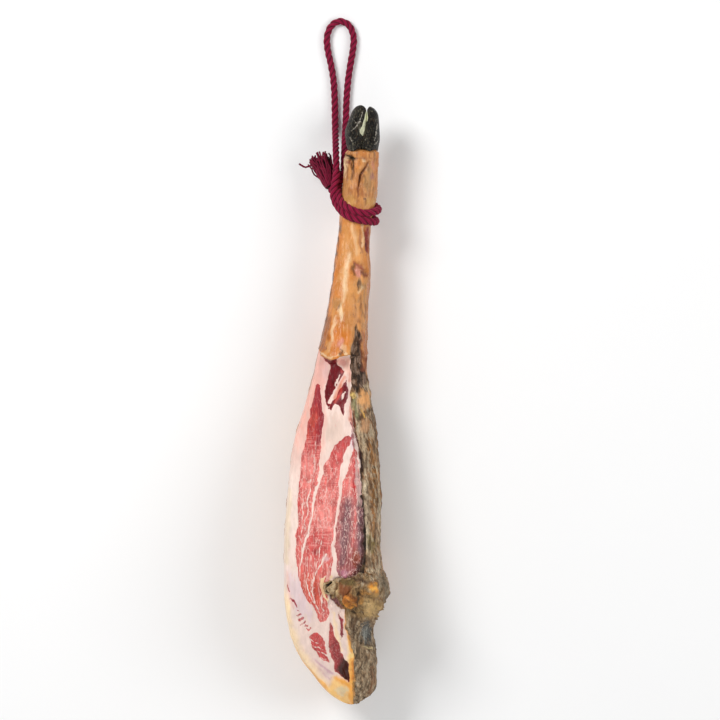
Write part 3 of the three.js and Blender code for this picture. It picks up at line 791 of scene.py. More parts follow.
def rind_strokes(at):
    """The golden rind of the shank, the foot and the hidden side, with all that lies on it."""
    left_band = smooth(11 - at.from_left_edge + at.middling * 3, 0, 8) * smooth(at.v, 224, 240)
    mottled = smooth(at.u, 350, 358) * smooth(at.v, 282, 296)
    edge_dark = smooth(3.4 - np.abs(at.from_left_edge) + at.middling * 1.6, -0.6, 3.4)
    on_upper_shank = smooth(at.v, 216, 230) * smooth(at.v, 392, 360)
    broken = blend(smooth(at.tufts + 0.3, -0.2, 0.3), 0.55, at.lower_left)
    return [
        (RIND_AMBER, smooth(at.coarse + at.middling * 0.6, 0.0, 0.8) * 0.6),
        (RIND_AMBER, smooth(at.drawn, 0.1, 0.6) * 0.35),
        (RIND_FOOT, smooth(at.v, 225, 200) * 0.7),
        (RIND_AMBER, left_band * 0.85),
        (RIND_OLIVE, at.spot((362, 308), (7, 24)) * 0.5 * smooth(at.tufts, -0.5, 0.4)),
        (RIND_BROWN, smooth(at.tufts, 0.25, 0.6) * mottled * 0.6),
        *CUFF_STROKES,
        *shank_strokes(at),
        *foot_strokes(at),
        (RIND_EDGE, edge_dark * on_upper_shank * broken),
        (RIND_BROWN, smooth(4 - np.abs(at.from_right_edge), 0, 4) * on_upper_shank * 0.6),
    ]


def shank_strokes(at):
    """Painted highlights in long pale streaks, and the bruises and sores along the shank."""
    speckled = at.spot((359.6, 285.6), (6, 6)) * smooth(at.tufts, -0.1, 0.3)
    return [
        # The first two pale streaks are painted highlights of the shank's gloss
        (RIND_PALE_AND_HIGHLIGHT, 0.8, [(349.6, 254, 0.4), (346.4, 268, 2.6), (345, 290, 2.2), (342.6, 302, 0.6)], 3.4),
        (RIND_PALE_AND_HIGHLIGHT, 0.95, [(340.6, 305, 1), (339.6, 311, 3), (341.6, 319, 2)], 1.8),
        (RIND_PALE_AND_HIGHLIGHT, 0.45, [(352, 226, 3), (356, 240, 2.6), (357, 254, 1.6)], 2.4),
        (RIND_OLIVE, 0.4, (336, 303), (7, 6)),
        (RIND_BROWN, 0.25, (351, 318), (14, 18)),
        (RIND_EDGE, 0.6, [(336.4, 310, 0.8), (339.4, 305, 1)], 1),
        (RIND_BROWN, 0.7, [(359.6, 230, 1.6), (360.6, 242, 2), (362.4, 252, 1)], 1.4),
        (RIND_PALE_AND_HIGHLIGHT, 0.6, [(362.6, 224, 1), (363.2, 236, 1.4), (363, 246, 1)], 1.2),
        (RIND_WINE, 1, [(367.4, 228, 3), (368, 240, 4.4), (367.6, 250, 3)], 2),
        ((92, 26, 28), 0.8, (366.8, 245), (2.4, 4)),
        (RIND_BROWN, 0.6, (358.6, 268), (8, 9)),
        (RIND_ROSE, 1, (359.4, 272), (5, 8)),
        (RIND_WINE, 0.7, [(354, 262, 2), (358, 265, 2.6), (363.4, 269, 1)], 2),
        (RIND_EDGE, 0.7, [(355, 264, 1), (353.6, 269, 2), (354.4, 275, 1)], 1.6),
        ((112, 54, 46), 0.8, [(362, 271, 1), (365.6, 275, 2.6)], 2),
        (RIND_OLIVE, 0.8, (360.6, 285), (7, 7)),
        (RIND_EDGE, speckled * 0.8),
        (RIND_PALE_AND_HIGHLIGHT, 0.75, [(357.4, 292, 1), (360, 290.4, 1), (362.6, 287, 0.6)], 1.4),
        (RIND_ROSE, 0.6, [(368, 284, 1), (367.6, 292, 1.4)], 1.4),
    ]


def foot_strokes(at):
    """Folds, a hole and worn patches of the foot's skin."""
    fold = [(369.4, 161.6, 0.6), (364.6, 168, 1.2), (360.4, 174, 1.8), (358.8, 183, 1.2), (358, 196, 0.8)]
    return [
        ((216, 168, 92), 0.5, (350, 201), (10, 9), -20),
        ((216, 168, 92), 0.5, (370, 202), (9, 7)),
        (RIND_BROWN, at.spot((361, 196), (9, 12)) * smooth(at.tufts + at.middling, -0.3, 0.4) * 0.7),
        (RIND_BROWN, smooth(at.drawn + at.tufts * 0.5, 0.1, 0.5) * smooth(at.v, 208, 190) * 0.5),
        (RIND_PALE_AND_HIGHLIGHT, 0.9, [(346.6, 158, 2), (345.6, 165, 2.4), (345.4, 176, 0.8)], 2),
        (RIND_AMBER, 0.6, (362, 153.4), (6, 4)),
        (RIND_AMBER, 0.6, [(377.4, 152, 3), (377.6, 170, 3), (377, 190, 2)], 2.4),
        (RIND_AMBER, 0.5, (359, 164), (4, 7), 25),
        (RIND_PALE_AND_HIGHLIGHT, 0.75, (364, 160.4), (3.4, 1.8)),
        (RIND_OLIVE, 0.6, (369, 180), (6, 16)),
        ((160, 108, 102), 0.7, (372.4, 176), (3.4, 5)),
        (RIND_ROSE, 0.5, [(372, 162, 1), (375, 170, 1.4)], 1.4),
        ((120, 62, 32), 1, fold, 1.6),
        ((80, 38, 20), 0.8, fold[1:4], 0.6),
        (RIND_HOLE, 1, [(346.6, 154.4, 1.4), (350, 157, 3.4), (355.4, 158, 2)], 1.4),
        (RIND_HOLE, 0.95, [(353, 159, 3), (353, 166, 2.6), (352, 169, 1)], 1.4),
        (RIND_EDGE, 0.75, [(352.6, 168, 1.6), (352.2, 174, 1), (351.4, 179, 1.4)], 1.4),
        ((132, 60, 34), 0.9, (348.6, 162), (1.6, 2.4), 20),
        (RIND_BROWN, 0.55, [(356, 158, 1), (364, 158.6, 0.8), (378, 158, 0.6)], 1),
        (RIND_EDGE, 1, (364.8, 199), (1.6, 1.4)),
        (RIND_BROWN, 0.5, (362, 194), (5, 4)),
        (RIND_EDGE, smooth(at.tufts, 0.42, 0.7) * smooth(at.v, 205, 180) * 0.35),
    ]


def hidden_fat_strokes(at):
    """The fat and mould of the rounded side below the carved face."""
    hidden = smooth(-at.from_left_edge, 1, 10) * at.lower_left
    below_cuff = smooth(at.v + at.coarse * 6, 352, 392)
    return [
        ((214, 166, 104), hidden * below_cuff * 0.7),
        (RIND_OLIVE, hidden * below_cuff * smooth(at.coarse, 0.0, 0.7) * 0.6),
        (RIND_BROWN, hidden * below_cuff * smooth(at.middling + at.coarse * 0.4, -0.1, 1.0) * 0.5),
    ]


def crust_strokes(at):
    """The dried crust on the right, with the notch, the knob and the lower end."""
    furrows = [
        [(360.8, 432, 0.6), (361.6, 446, 1.2), (363, 462, 1)],
        [(367.6, 428, 0.8), (369.8, 446, 1.6), (371, 466, 1)],
        [(367, 478, 0.8), (368, 500, 1.4), (368.6, 520, 1)],
        [(376, 470, 0.6), (377, 500, 1.2), (376.6, 528, 0.8)],
    ]
    return [
        (CRUST_BROWN, smooth(at.drawn, -0.1, 0.3) * 0.85),
        ((162, 108, 52), 0.75, [(371, 440, 3), (373.4, 475, 5), (374, 510, 4), (371, 560, 4)], 4),
        (CRUST_PALE, 0.4, [(365, 450, 1), (366, 480, 4), (368.4, 530, 4), (369, 566, 3)], 2),
        (CRUST_PALE, 0.5, [(379.4, 500, 1.6), (380, 540, 2.4), (377, 570, 3)], 2.4),
        (CRUST_BROWN, 0.4, [(369, 462, 3), (371, 500, 5), (371, 530, 4)], 3),
        *[((112, 78, 48), 0.65, furrow, 1.4) for furrow in furrows],
        ((196, 170, 136), 0.6, [(363.6, 430, 0.8), (366, 446, 1.6), (367, 462, 1)], 1.2),
        ((132, 92, 46), 0.65, (375, 491), (5.4, 20)),
        ((172, 154, 130), 0.5, [(364, 478, 1.6), (366.4, 505, 4), (367, 545, 3.4)], 2),
        (CRUST_OLIVE, 0.75, (371, 542), (6, 14)),
        (CRUST_DARK, smooth(at.streaks, 0.16, 0.44) * 0.7),
        (CRUST_PALE, smooth(-at.streaks, 0.2, 0.5) * 0.6),
        *notch_strokes(at),
        # Painted shade: the groove beside the flesh is painted black, with a second, wider black line along
        # part of it
        (CRUST_BLACK, 1, SHADOWED_GROOVE, 0.8),
        ((40, 20, 14), 1, [(356.8, 440, 1), (358.4, 448, 2.2), (360.2, 456, 3.4), (361.2, 464, 3.6),
         (361.4, 471, 2.4)], 1),
        ((104, 34, 28), 0.8, [(353, 412, 1.6), (355, 436, 2.4), (358, 458, 1.6)], 1),
        *knob_strokes(at),
        *lower_crust_strokes(at),
    ]


def notch_strokes(at):
    """The black hollow that runs up into the rind, and the orange fat below it."""
    notch = [(356.4, 324), (353, 338), (350, 352), (350, 388), (357, 392), (362, 388), (369, 380), (363, 345)]
    return [
        ((100, 72, 52), 1, notch, 1.6),
        (CRUST_BLACK, at.inside(notch, 1.6) * smooth(at.tufts + at.streaks, -0.1, 0.4) * 0.8),
        ((160, 134, 116), at.inside(notch, 1) * smooth(-at.tufts, 0.15, 0.4) * 0.6),
        ((132, 66, 42), 0.85, [(361.6, 340, 2), (364, 352, 3.4), (365, 370, 3)], 2),
        (CRUST_BLACK, 0.7, (361, 378), (4.6, 9)),
        (CRUST_BLACK, 0.9, (358.4, 391), (2.6, 3.4)),
        ((228, 166, 106), 1, (364, 399), (7, 13), -6),
        ((140, 138, 100), 0.85, [(353.4, 400, 2), (356, 412, 4), (358, 418, 2)], 2),
        (CRUST_DARK, 0.6, [(354, 406, 0.6), (357, 418, 1)], 1),
        ((240, 204, 124), 0.9, [(350.8, 396.4, 1.4), (353.4, 393.8, 1.8), (355.4, 396.6, 1.4),
         (352.6, 398.6, 1)], 1.2),
        ((226, 184, 104), 0.8, [(356.4, 398, 0.8), (358, 404, 0.6)], 1),
        ((236, 182, 92), 0.8, [(361, 408, 0.8), (365, 417.6, 0.6)], 1),
        (CRUST_DARK, 0.9, (361, 417), (3.4, 4.4)),
        ((194, 146, 106), 0.8, (365, 425), (5.4, 9)),
        (CRUST_DARK, 0.8, [(371.5, 408, 0.6), (373.4, 424, 1.4), (375.6, 444, 0.8)], 1.2),
    ]


def lower_crust_strokes(at):
    """Grey hair and mould below the knob, with a blue-grey hollow."""
    below = smooth(at.v + at.middling * 3, 612, 624)
    hollow_hair = at.spot((367, 634), (8, 15)) * smooth(-at.streaks - at.tufts * 0.5, 0.05, 0.4)
    return [
        (CRUST_HAIR, below * 0.75),
        (CRUST_BLACK, below * smooth(at.streaks + at.tufts * 0.6, 0.1, 0.5) * 0.5),
        (CRUST_PALE, below * smooth(-at.streaks - at.tufts * 0.6, 0.3, 0.7) * 0.4),
        (CRUST_STEEL, 0.85, (368, 633), (7, 15)),
        ((62, 64, 62), 0.8, (369.6, 634), (3, 10)),
        ((156, 156, 148), hollow_hair * 0.6),
        (CRUST_DARK, 0.75, (354, 622), (6, 13)),
        (CRUST_BLACK, 0.8, (353, 611), (3, 3)),
        ((124, 76, 42), 0.6, [(372, 668, 2), (373.4, 680, 3), (370, 694, 2)], 2.4),
        ((222, 200, 150), 0.8, [(364, 646, 0.6), (372, 647.6, 1)], 1),
        (FAT_ORANGE, 0.75, [(351.4, 660, 1.4), (352.8, 682, 1.8), (353.6, 698, 1.6)], 1.6),
    ]


def knob_strokes(at):
    """The lump of the hip bone: dried fat, torn sinew and dark holes, with painted highlights on its amber
    fat.
    """
    broken = smooth(at.tufts * 0.8 + at.middling * 0.6, -0.6, 0.2)
    amber = smooth(at.tufts * 0.7 + at.middling * 0.5, -0.5, 0.3)
    return [
        ((146, 116, 76), 0.9, (357, 600), (38, 34)),
        (CRUST_TAN, 1, (369.6, 606), (12, 15), 20),
        ((160, 132, 84), 0.5, (374, 604), (4, 9), 20),
        ((216, 184, 132), 0.6, (366, 603), (4, 8), 20),
        (KNOB_RUST, 0.9, (344, 589), (11, 11), 20),
        ((104, 88, 50), 0.85, (348, 581.6), (9, 4)),
        ((216, 134, 52), 0.3 + 0.7 * broken, (350, 597.4), (8.2, 6.4), -20),
        (KNOB_RUST, 0.9, (343.4, 594.6), (3.6, 3.2), 30),
        ((116, 58, 26), 0.7, [(345.6, 595.4, 0.8), (349.6, 598.4, 1.2), (352.8, 604.4, 1)], 1.4),
        (KNOB_AMBER, broken * 0.9, [(344.6, 600, 2.4), (347.6, 603, 4), (352, 601, 3.6)], 2),
        ((92, 48, 22), 0.85, [(349, 592, 0.8), (355, 595.4, 1.8), (356.6, 601, 1.4)], 1.4),
        # Painted highlight on the lower amber lobe
        ((250, 196, 118), 0.85, [(346, 601, 1), (348, 603, 1.6), (350, 605.6, 1)], 1),
        (KNOB_AMBER, 0.25 + 0.75 * amber, (372.4, 585.6), (6.6, 5.2), 25),
        ((196, 150, 84), 0.6, (375, 592), (5, 5)),
        # Painted highlight on the upper amber patch
        ((250, 190, 90), 0.9, [(369.6, 586.6, 1), (373, 583.8, 1.6), (375, 585.4, 0.8)], 1.2),
        ((214, 150, 74), 0.7, [(360, 600, 1.6), (364, 590, 2), (369, 592, 1)], 1.6),
        (CRUST_BLACK, 0.85, [(357, 598, 1.4), (359.6, 590, 2.6), (362.4, 594, 1.4)], 1.4),
        (CRUST_DARK, 0.85, [(352, 577, 2), (361, 577, 2.6), (368, 580, 1.4)], 1.8),
        ((118, 108, 90), 0.75 + 0.25 * at.tufts,
         [(381, 576, 4), (387, 588, 5), (387, 602, 4), (382, 614, 2)], 5),
        (CRUST_DARK, smooth(at.tufts, 0.3, 0.6) * at.spot((362, 596), (30, 26)) * 0.5),
        ((136, 82, 86), 0.85, [(329, 596, 3), (335, 601, 5), (340, 606, 3)], 2.6),
        ((150, 84, 36), 0.85, (343.4, 611), (3.4, 5)),
        ((206, 180, 132), 0.85, (332, 587), (10, 11)),
        (RIND_HOLE, 0.7, [(326, 592, 2), (329.6, 594, 3)], 1.6),
    ]


def hairiness_of(at):
    """How hairy and pitted the crust is, 0 to 1: bare fat and the knob are smoother."""
    smoother = np.maximum.reduce(at.shapes(BARE_PATCHES))
    return 1 - 0.85 * smoother


def flesh_depth_of(at):
    """How deep in millimetres each place lies inside the carved flesh; less than zero outside it."""
    depth = depth_inside(at.u, at.v, FLESH_OUTLINE) * PIXEL
    over_edge = 1.6 + 3 * smooth(at.v, 480, 560) + 9 * smooth(at.v, 560, 640) + at.coarse * 2 + at.fine
    below_edge = over_edge + np.minimum(at.from_left_edge, 0)
    depth = np.where(at.lower_left, np.minimum(depth, below_edge), depth)
    depth = np.where(at.lower_right, -DEPTH_REACH, depth)
    return np.clip(depth, -DEPTH_REACH, DEPTH_REACH)


def marbling_of(at):
    """How strongly fine fat runs through the lean, 0 to 1."""
    amount = 0.25 + 0.75 * smooth(at.v, 436, 470)
    amount = amount * (1 - 0.6 * at.spot((324, 545), (16, 10))) * (1 - 0.7 * smooth(at.v, 618, 624))
    amount = amount * (1 - 0.8 * at.spot((332, 385), (24, 32)))
    return amount * (1 - 0.85 * at.line(DRIED_END, 4)) * (1 - 0.95 * at.line(GROOVE_SHADE_SIDE, 2))


def slicing_of(at):
    """How strongly the knife's fine marks across the lean show, 0 to 1."""
    return np.maximum.reduce(at.shapes(KNIFE_MARKS))


# Meshes

def add_rings(name, rings, material):
    """A new smooth mesh object: a closed tube of rings, in millimetres."""
    mesh = bpy.data.meshes.new(name)
    mesh.from_pydata((with_ends(rings) * MILLIMETRE).tolist(), [], ring_faces(*rings.shape[:2]))
    mesh.materials.append(material)
    mesh.shade_smooth()
    mesh.update()
    piece = bpy.data.objects.new(name, mesh)
    bpy.context.collection.objects.link(piece)
    return piece


def add_values(piece, layers):
    """Stores numbers on the rings' points under the names that the material reads."""
    for name, values in layers.items():
        layer = piece.data.attributes.new(name, "FLOAT", "POINT")
        layer.data.foreach_set("value", with_ends(values[..., None]).astype(np.float32).ravel())


def add_colours(piece, layers):
    """Stores colours on the rings' points under the names that the material reads."""
    for name, colours in layers.items():
        flat = np.clip(with_ends(colours), 0, 1)
        filled = np.concatenate([flat, np.ones((len(flat), 1))], axis=1)
        layer = piece.data.attributes.new(name, "FLOAT_COLOR", "POINT")
        layer.data.foreach_set("color", filled.astype(np.float32).ravel())


def ring_faces(rows, columns):
    """Faces of a tube of rings, closed at each end by a point that follows the rings' points."""
    faces = []
    for row in range(rows - 1):
        for column in range(columns):
            beside = (column + 1) % columns
            a = row * columns + column
            b = row * columns + beside
            faces.append((a, a + columns, b + columns, b))
    first = rows * columns
    last = first + 1
    top = (rows - 1) * columns
    for column in range(columns):
        beside = (column + 1) % columns
        faces.append((first, column, beside))
        faces.append((last, top + beside, top + column))
    return faces


def with_ends(rings):
    """What rings hold in one list, with the mean of the first and of the last ring added."""
    flat = rings.reshape(-1, rings.shape[2])
    return np.concatenate([flat, rings[0].mean(0)[None], rings[-1].mean(0)[None]])


# Shader and geometry maths

class Value:
    """A socket that Python's own operators work on: each adds the node that does the sum."""

    def __init__(self, maker, socket):
        self.maker = maker
        self.socket = socket

    def is_vector(self):
        return self.socket.type in ("VECTOR", "RGBA")

    def combine(self, operation, first, second):
        pair = (first, second)
        vector = any(isinstance(v, tuple) or (isinstance(v, Value) and v.is_vector()) for v in pair)
        kind = "ShaderNodeVectorMath" if vector else "ShaderNodeMath"
        values = [(v, v, v) if vector and isinstance(v, (int, float)) else v for v in pair]
        return self.maker.node(kind, {"operation": operation}, {0: values[0], 1: values[1]})

    def __add__(self, other):
        return self.combine("ADD", self, other)

    def __radd__(self, other):
        return self.combine("ADD", other, self)

    def __sub__(self, other):
        return self.combine("SUBTRACT", self, other)

    def __rsub__(self, other):
        return self.combine("SUBTRACT", other, self)

    def __mul__(self, other):
        return self.combine("MULTIPLY", self, other)

    def __rmul__(self, other):
        return self.combine("MULTIPLY", other, self)

    def __truediv__(self, other):
        return self.combine("DIVIDE", self, other)

    def apply(self, operation, other=0.0):
        """One Math node of that operation on this value, and another where it takes two."""
        return self.maker.node("ShaderNodeMath", {"operation": operation}, {0: self, 1: other})


class Maker:
    """Adds nodes to one tree."""

    def __init__(self, tree):
        self.tree = tree

    def node(self, kind, settings=None, inputs=None, output=0):
        """A new node: its settings are set first, then each input takes a value or a link."""
        made = self.tree.nodes.new(kind)
        for name, value in (settings or {}).items():
            setattr(made, name, value)
        for name, value in (inputs or {}).items():
            socket = made.inputs[name]
            if isinstance(value, Value):
                self.tree.links.new(value.socket, socket)
            elif isinstance(value, tuple):
                socket.default_value = (*value, 1.0)[:len(socket.default_value)]
            else:
                socket.default_value = value
        return Value(self, made.outputs[output]) if len(made.outputs) else None

    def step(self, value, low, high):
        """A soft step from 0 at low to 1 at high."""
        settings = {"interpolation_type": "SMOOTHSTEP"}
        inputs = {"Value": value, "From Min": low, "From Max": high}
        return self.node("ShaderNodeMapRange", settings, inputs)

    def mix(self, share, first, second):
        """A colour between two others."""
        inputs = {0: share, 6: first, 7: second}
        return self.node("ShaderNodeMix", {"data_type": "RGBA"}, inputs, 2)

    def attribute(self, name, output="Fac"):
        """A number or colour stored on the mesh."""
        return self.node("ShaderNodeAttribute", {"attribute_name": name}, {}, output)


class Finish(Maker):
    """A material's tree, with its noise and its surface."""

    def __init__(self, name):
        self.material = bpy.data.materials.new(name)
        self.material.use_nodes = True
        self.material.node_tree.nodes.clear()
        super().__init__(self.material.node_tree)
        self.millimetres = self.node("ShaderNodeTexCoord", {}, {}, "Object") * (1 / MILLIMETRE)

    def grain(self, size, stretch=(1, 1, 1), detail=3.0, roughness=0.55, offset=0.0):
        """Noise whose lumps are about size millimetres across, drawn out by stretch."""
        place = self.millimetres * tuple(1 / (size * s) for s in stretch)
        if offset:
            place = place + (offset, offset, offset)
        inputs = {"Vector": place, "Scale": 1.0, "Detail": detail, "Roughness": roughness}
        return self.node("ShaderNodeTexNoise", {}, inputs)

    def bump(self, height_mm, strength=1.0):
        """The bent normal of a height in millimetres."""
        inputs = {"Strength": strength, "Distance": MILLIMETRE, "Height": height_mm}
        return self.node("ShaderNodeBump", {}, inputs)

    def surface(self, colour, roughness, normal, fixed=None):
        """Ends the tree in a Principled surface; fixed holds values that are the same all over."""
        inputs = {"Base Color": colour, "Roughness": roughness, "Normal": normal}
        shader = self.node("ShaderNodeBsdfPrincipled", {}, {**inputs, **(fixed or {})})
        self.node("ShaderNodeOutputMaterial", {}, {"Surface": shader})
        return self.material


def ham_finish(colours):
    """Cut lean and fat, golden rind and mouldy crust on one surface."""
    finish = Finish("cured_ham_surface")
    flesh_depth = finish.attribute("flesh_depth")
    lean_depth = finish.attribute("lean_depth")
    crust = finish.attribute("crust")
    hairiness = finish.attribute("hairiness")
    marbling = finish.attribute("marbling")
    slicing = finish.attribute("slicing")

    fibre = finish.grain(2.0, (1, 12, 1), 4, 0.66)
    soft_fibre = finish.grain(4.8, (1, 9, 1), 2, 0.5)
    speckle = finish.grain(2.0, (1, 2.2, 1), 3, 0.6)
    ragged = finish.grain(3.0, (1, 2.6, 1), 3, 0.6)
    across = finish.grain(1.9, (12, 1, 12), 3, 0.6)

    lean_share = finish.step(lean_depth + (ragged - 0.5) * 2.6, -0.35, 0.4)
    lean = finish.attribute("lean_tone", "Color") * tuple(colours.lean_tint)
    lean = lean * (0.34 + 0.82 * fibre + 0.5 * soft_fibre)
    lean = finish.mix(finish.step(speckle, 0.54, 0.68) * marbling * 0.6, lean, linear(240, 186, 176))
    vein = 1 - finish.step((soft_fibre - 0.5).apply("ABSOLUTE"), 0.004, 0.03)
    lean = finish.mix(vein * marbling * 0.55, lean, linear(244, 210, 198))
    lean = finish.mix(finish.step(across, 0.52, 0.66) * slicing * 0.55, lean, linear(240, 172, 164))
    lean = finish.mix(finish.step(across, 0.46, 0.34) * slicing * 0.4, lean, linear(150, 36, 44))

    fat = finish.attribute("fat_tone", "Color") * tuple(colours.fat_tint)
    fat = fat * (0.84 + 0.2 * finish.grain(9, (1, 2.4, 1), 3) + 0.12 * fibre)
    fat = finish.mix(finish.step(ragged, 0.58, 0.74) * 0.3, fat, linear(228, 158, 146))
    flesh = finish.mix(lean_share, fat, lean)

    blotch = finish.grain(11, (1, 2.4, 1), 4, 0.62)
    pore = finish.grain(1.8, (1, 1.2, 1), 3, 0.6)
    lines = finish.grain(3.2, (1, 7, 1), 3, 0.6, 17.0)
    rind = finish.attribute("skin_tone", "Color") * tuple(colours.rind_tint)
    rind = rind * (0.40 + 0.74 * blotch + 0.22 * pore + 0.20 * lines)
    rind = finish.mix(finish.step(finish.grain(3.0, (1, 1.6, 1), 3, 0.6, 7.0), 0.64, 0.74) * 0.55, rind,
                      linear(122, 70, 38))
    rind = finish.mix(finish.step(lines, 0.60, 0.76) * 0.22, rind, linear(242, 206, 164))
    hair = finish.grain(2.5, (1, 9, 1), 4, 0.7)
    clod = finish.grain(5.4, (1, 4.2, 1), 5, 0.7)
    crusted = finish.attribute("skin_tone", "Color") * tuple(colours.crust_tint)
    wisps = finish.grain(1.5, (1, 4, 1), 3, 0.75, 3.0)
    crusted = crusted * (0.48 + 1.2 * clod) * (1 + hairiness * (wisps - 0.5) * 1.7)
    crusted = crusted * (1 - 0.58 * hairiness * finish.step(hair, 0.48, 0.36))
    pale_hair = finish.step(hair, 0.54, 0.68) * hairiness
    crusted = finish.mix(pale_hair * 0.6, crusted, crusted * 1.8 + linear(60, 54, 44))
    pit = finish.step(finish.grain(3.4, (1, 1.8, 1), 4, 0.7, 9.0), 0.42, 0.32) * hairiness
    crusted = crusted * (1 - 0.55 * pit)
    skin = finish.mix(crust, rind, crusted)

    flesh_share = finish.step(flesh_depth + (ragged - 0.5) * 2.0, -0.3, 0.4)
    colour = finish.mix(flesh_share, skin, flesh)

    flesh_height = fibre * 0.25 + lean_share * (speckle * 0.18 + across * slicing * 0.28) + ragged * 0.2
    skin_height = blotch * 1.1 + lines * 0.35 + pore * 0.25 + crust * (hair * hairiness * 1.9 + clod * 1.5)
    height = skin_height + flesh_share * (flesh_height - skin_height)
    flesh_rough = 0.42 + 0.22 * (speckle - 0.5) - 0.06 * lean_share
    skin_rough = 0.29 + 0.36 * (blotch - 0.5) + 0.24 * crust + 0.24 * crust * hairiness
    rough = skin_rough + flesh_share * (flesh_rough - skin_rough)
    return finish.surface(colour, rough, finish.bump(height), {"Specular IOR Level": 0.24})


def bone_finish(colours):
    """Dry bone with dark pores and a stained hollow end."""
    finish = Finish("hip_bone_surface")
    pores = finish.grain(1.8, (1, 1, 1), 4, 0.65)
    stain = finish.grain(8, (1, 1, 1), 3, 0.6)
    marrow = finish.attribute("marrow")
    colour = finish.mix(finish.step(stain, 0.35, 0.7), tuple(colours.bone), linear(150, 112, 70))
    colour = finish.mix(finish.step(pores, 0.5, 0.34) * 0.65, colour, linear(66, 46, 30))
    colour = finish.mix(marrow, colour, linear(44, 34, 25))
    rough = 0.55 + 0.3 * pores
    return finish.surface(colour, rough, finish.bump(pores * 0.7 + stain * 0.6))


def horn_finish(colours):
    """Black horn, glossy and ridged, with worn edges partly painted as highlights, and pale walls in the
    cleft.
    """
    finish = Finish("hoof_horn_surface")
    ridges = finish.grain(1.6, (1, 11, 1), 3, 0.6)
    dirt = finish.grain(3.2, (1, 1.8, 1), 4, 0.68)
    flecks = finish.grain(1.9, (1, 1.6, 1), 3, 0.7, 5.0)
    worn = finish.attribute("worn")
    cleft = finish.attribute("cleft")
    colour = tuple(colours.horn)
    colour = finish.mix(finish.step(dirt, 0.50, 0.70) * 0.55, colour, linear(88, 66, 46))
    flakes = finish.grain(5.0, (1, 3.2, 1), 4, 0.7, 12.0)
    colour = finish.mix(finish.step(flakes, 0.54, 0.62) * 0.42, colour, linear(104, 98, 80))
    colour = finish.mix(finish.step(flecks, 0.56, 0.66) * (0.5 + 0.4 * worn), colour, linear(140, 136, 116))
    # Pale worn ridges, partly painted highlights on the sole's ridges
    chips_and_glints = finish.step(worn * 0.9 + (flecks - 0.5) * 2.4 + (dirt - 0.5) * 1.4, 0.55, 0.95)
    colour = finish.mix(chips_and_glints * finish.step(worn, 0.1, 0.5) * 0.6, colour, linear(198, 190, 176))
    colour = finish.mix(finish.step(cleft + (dirt - 0.5) * 0.9, 0.3, 0.75), colour, linear(238, 238, 204))
    rough = 0.2 + 0.28 * dirt + 0.25 * cleft
    height = ridges * 0.9 + dirt * 2.4 + flecks * 0.6 + flakes * 1.6
    return finish.surface(colour, rough, finish.bump(height), {"Specular IOR Level": 0.16})


def rope_finish(colours):
    """Soft laid yarn: the strands carry their own angle round and length along."""
    finish = Finish("rope_yarn")
    round_strand = finish.attribute("round_strand", "Vector")
    split = finish.node("ShaderNodeSeparateXYZ", {}, {0: round_strand}, "X")
    sine = Value(finish, split.socket.node.outputs["Y"])
    angle = sine.apply("ARCTAN2", split)
    along = finish.attribute("along_strand")
    yarn_turns = along * (FULL_TURN / YARN_PITCH)
    yarn = (angle * YARNS_ROUND - yarn_turns).apply("SINE") * 0.5 + 0.5
    fuzz = finish.grain(0.9, (1, 1, 1), 3, 0.7)
    shade = finish.grain(9, (1, 1, 1), 3, 0.6)
    colour = finish.mix(yarn * 0.6 + fuzz * 0.4, linear(66, 8, 28), tuple(colours.rope))
    # Painted shade: faces that turn in towards the rope's middle are darkened
    crown = finish.step(finish.attribute("crown"), -0.25, 0.95)
    colour = colour * (0.62 + 0.9 * shade) * (0.2 + 0.95 * crown)
    colour = finish.mix(finish.step(fuzz, 0.60, 0.78) * 0.3, colour, linear(190, 60, 100))
    height = yarn * 0.35 + fuzz * 0.35
    fixed = {"Specular IOR Level": 0.15, "Sheen Weight": 0.06, "Sheen Roughness": 0.5}
    return finish.surface(colour, 0.86 + 0.1 * fuzz, finish.bump(height), fixed)


def floor_finish(colours):
    """A plain pale floor with a very faint grain."""
    finish = Finish("pale_floor")
    colour = finish.mix(finish.grain(120), tuple(colours.floor), tuple(c * 0.99 for c in colours.floor))
    return finish.surface(colour, 0.75 + 0.1 * finish.grain(30), finish.bump(finish.grain(2) * 0.02))


# The rope

# The route of the free loop, in millimetres: out of the hitch, down to the table and back
LOOP_ROUTE = [
    (-1, 330, 62), (-1.2, 342, 59), (-1.6, 355, 50), (-2, 368, 35), (-2.4, 380, 20), (-2.8, 392, 9),
    (-3.2, 405, 5.2), (-3.6, 430, 5), (-5.2, 458, 5), (-9, 482, 5), (-13.5, 503, 5), (-14.4, 522, 5),
    (-7.8, 537.5, 5), (4.2, 543.5, 5), (16.2, 538, 5), (23, 522, 5), (22.2, 503, 5), (18.6, 482, 5),
    (15.2, 458, 5), (13, 430, 5), (12.2, 405, 5.2), (11.6, 392, 8.5), (11.2, 380, 16.5), (10.6, 368, 27),
    (10.2, 355, 37), (9.8, 342, 44), (9.5, 330, 48),
]
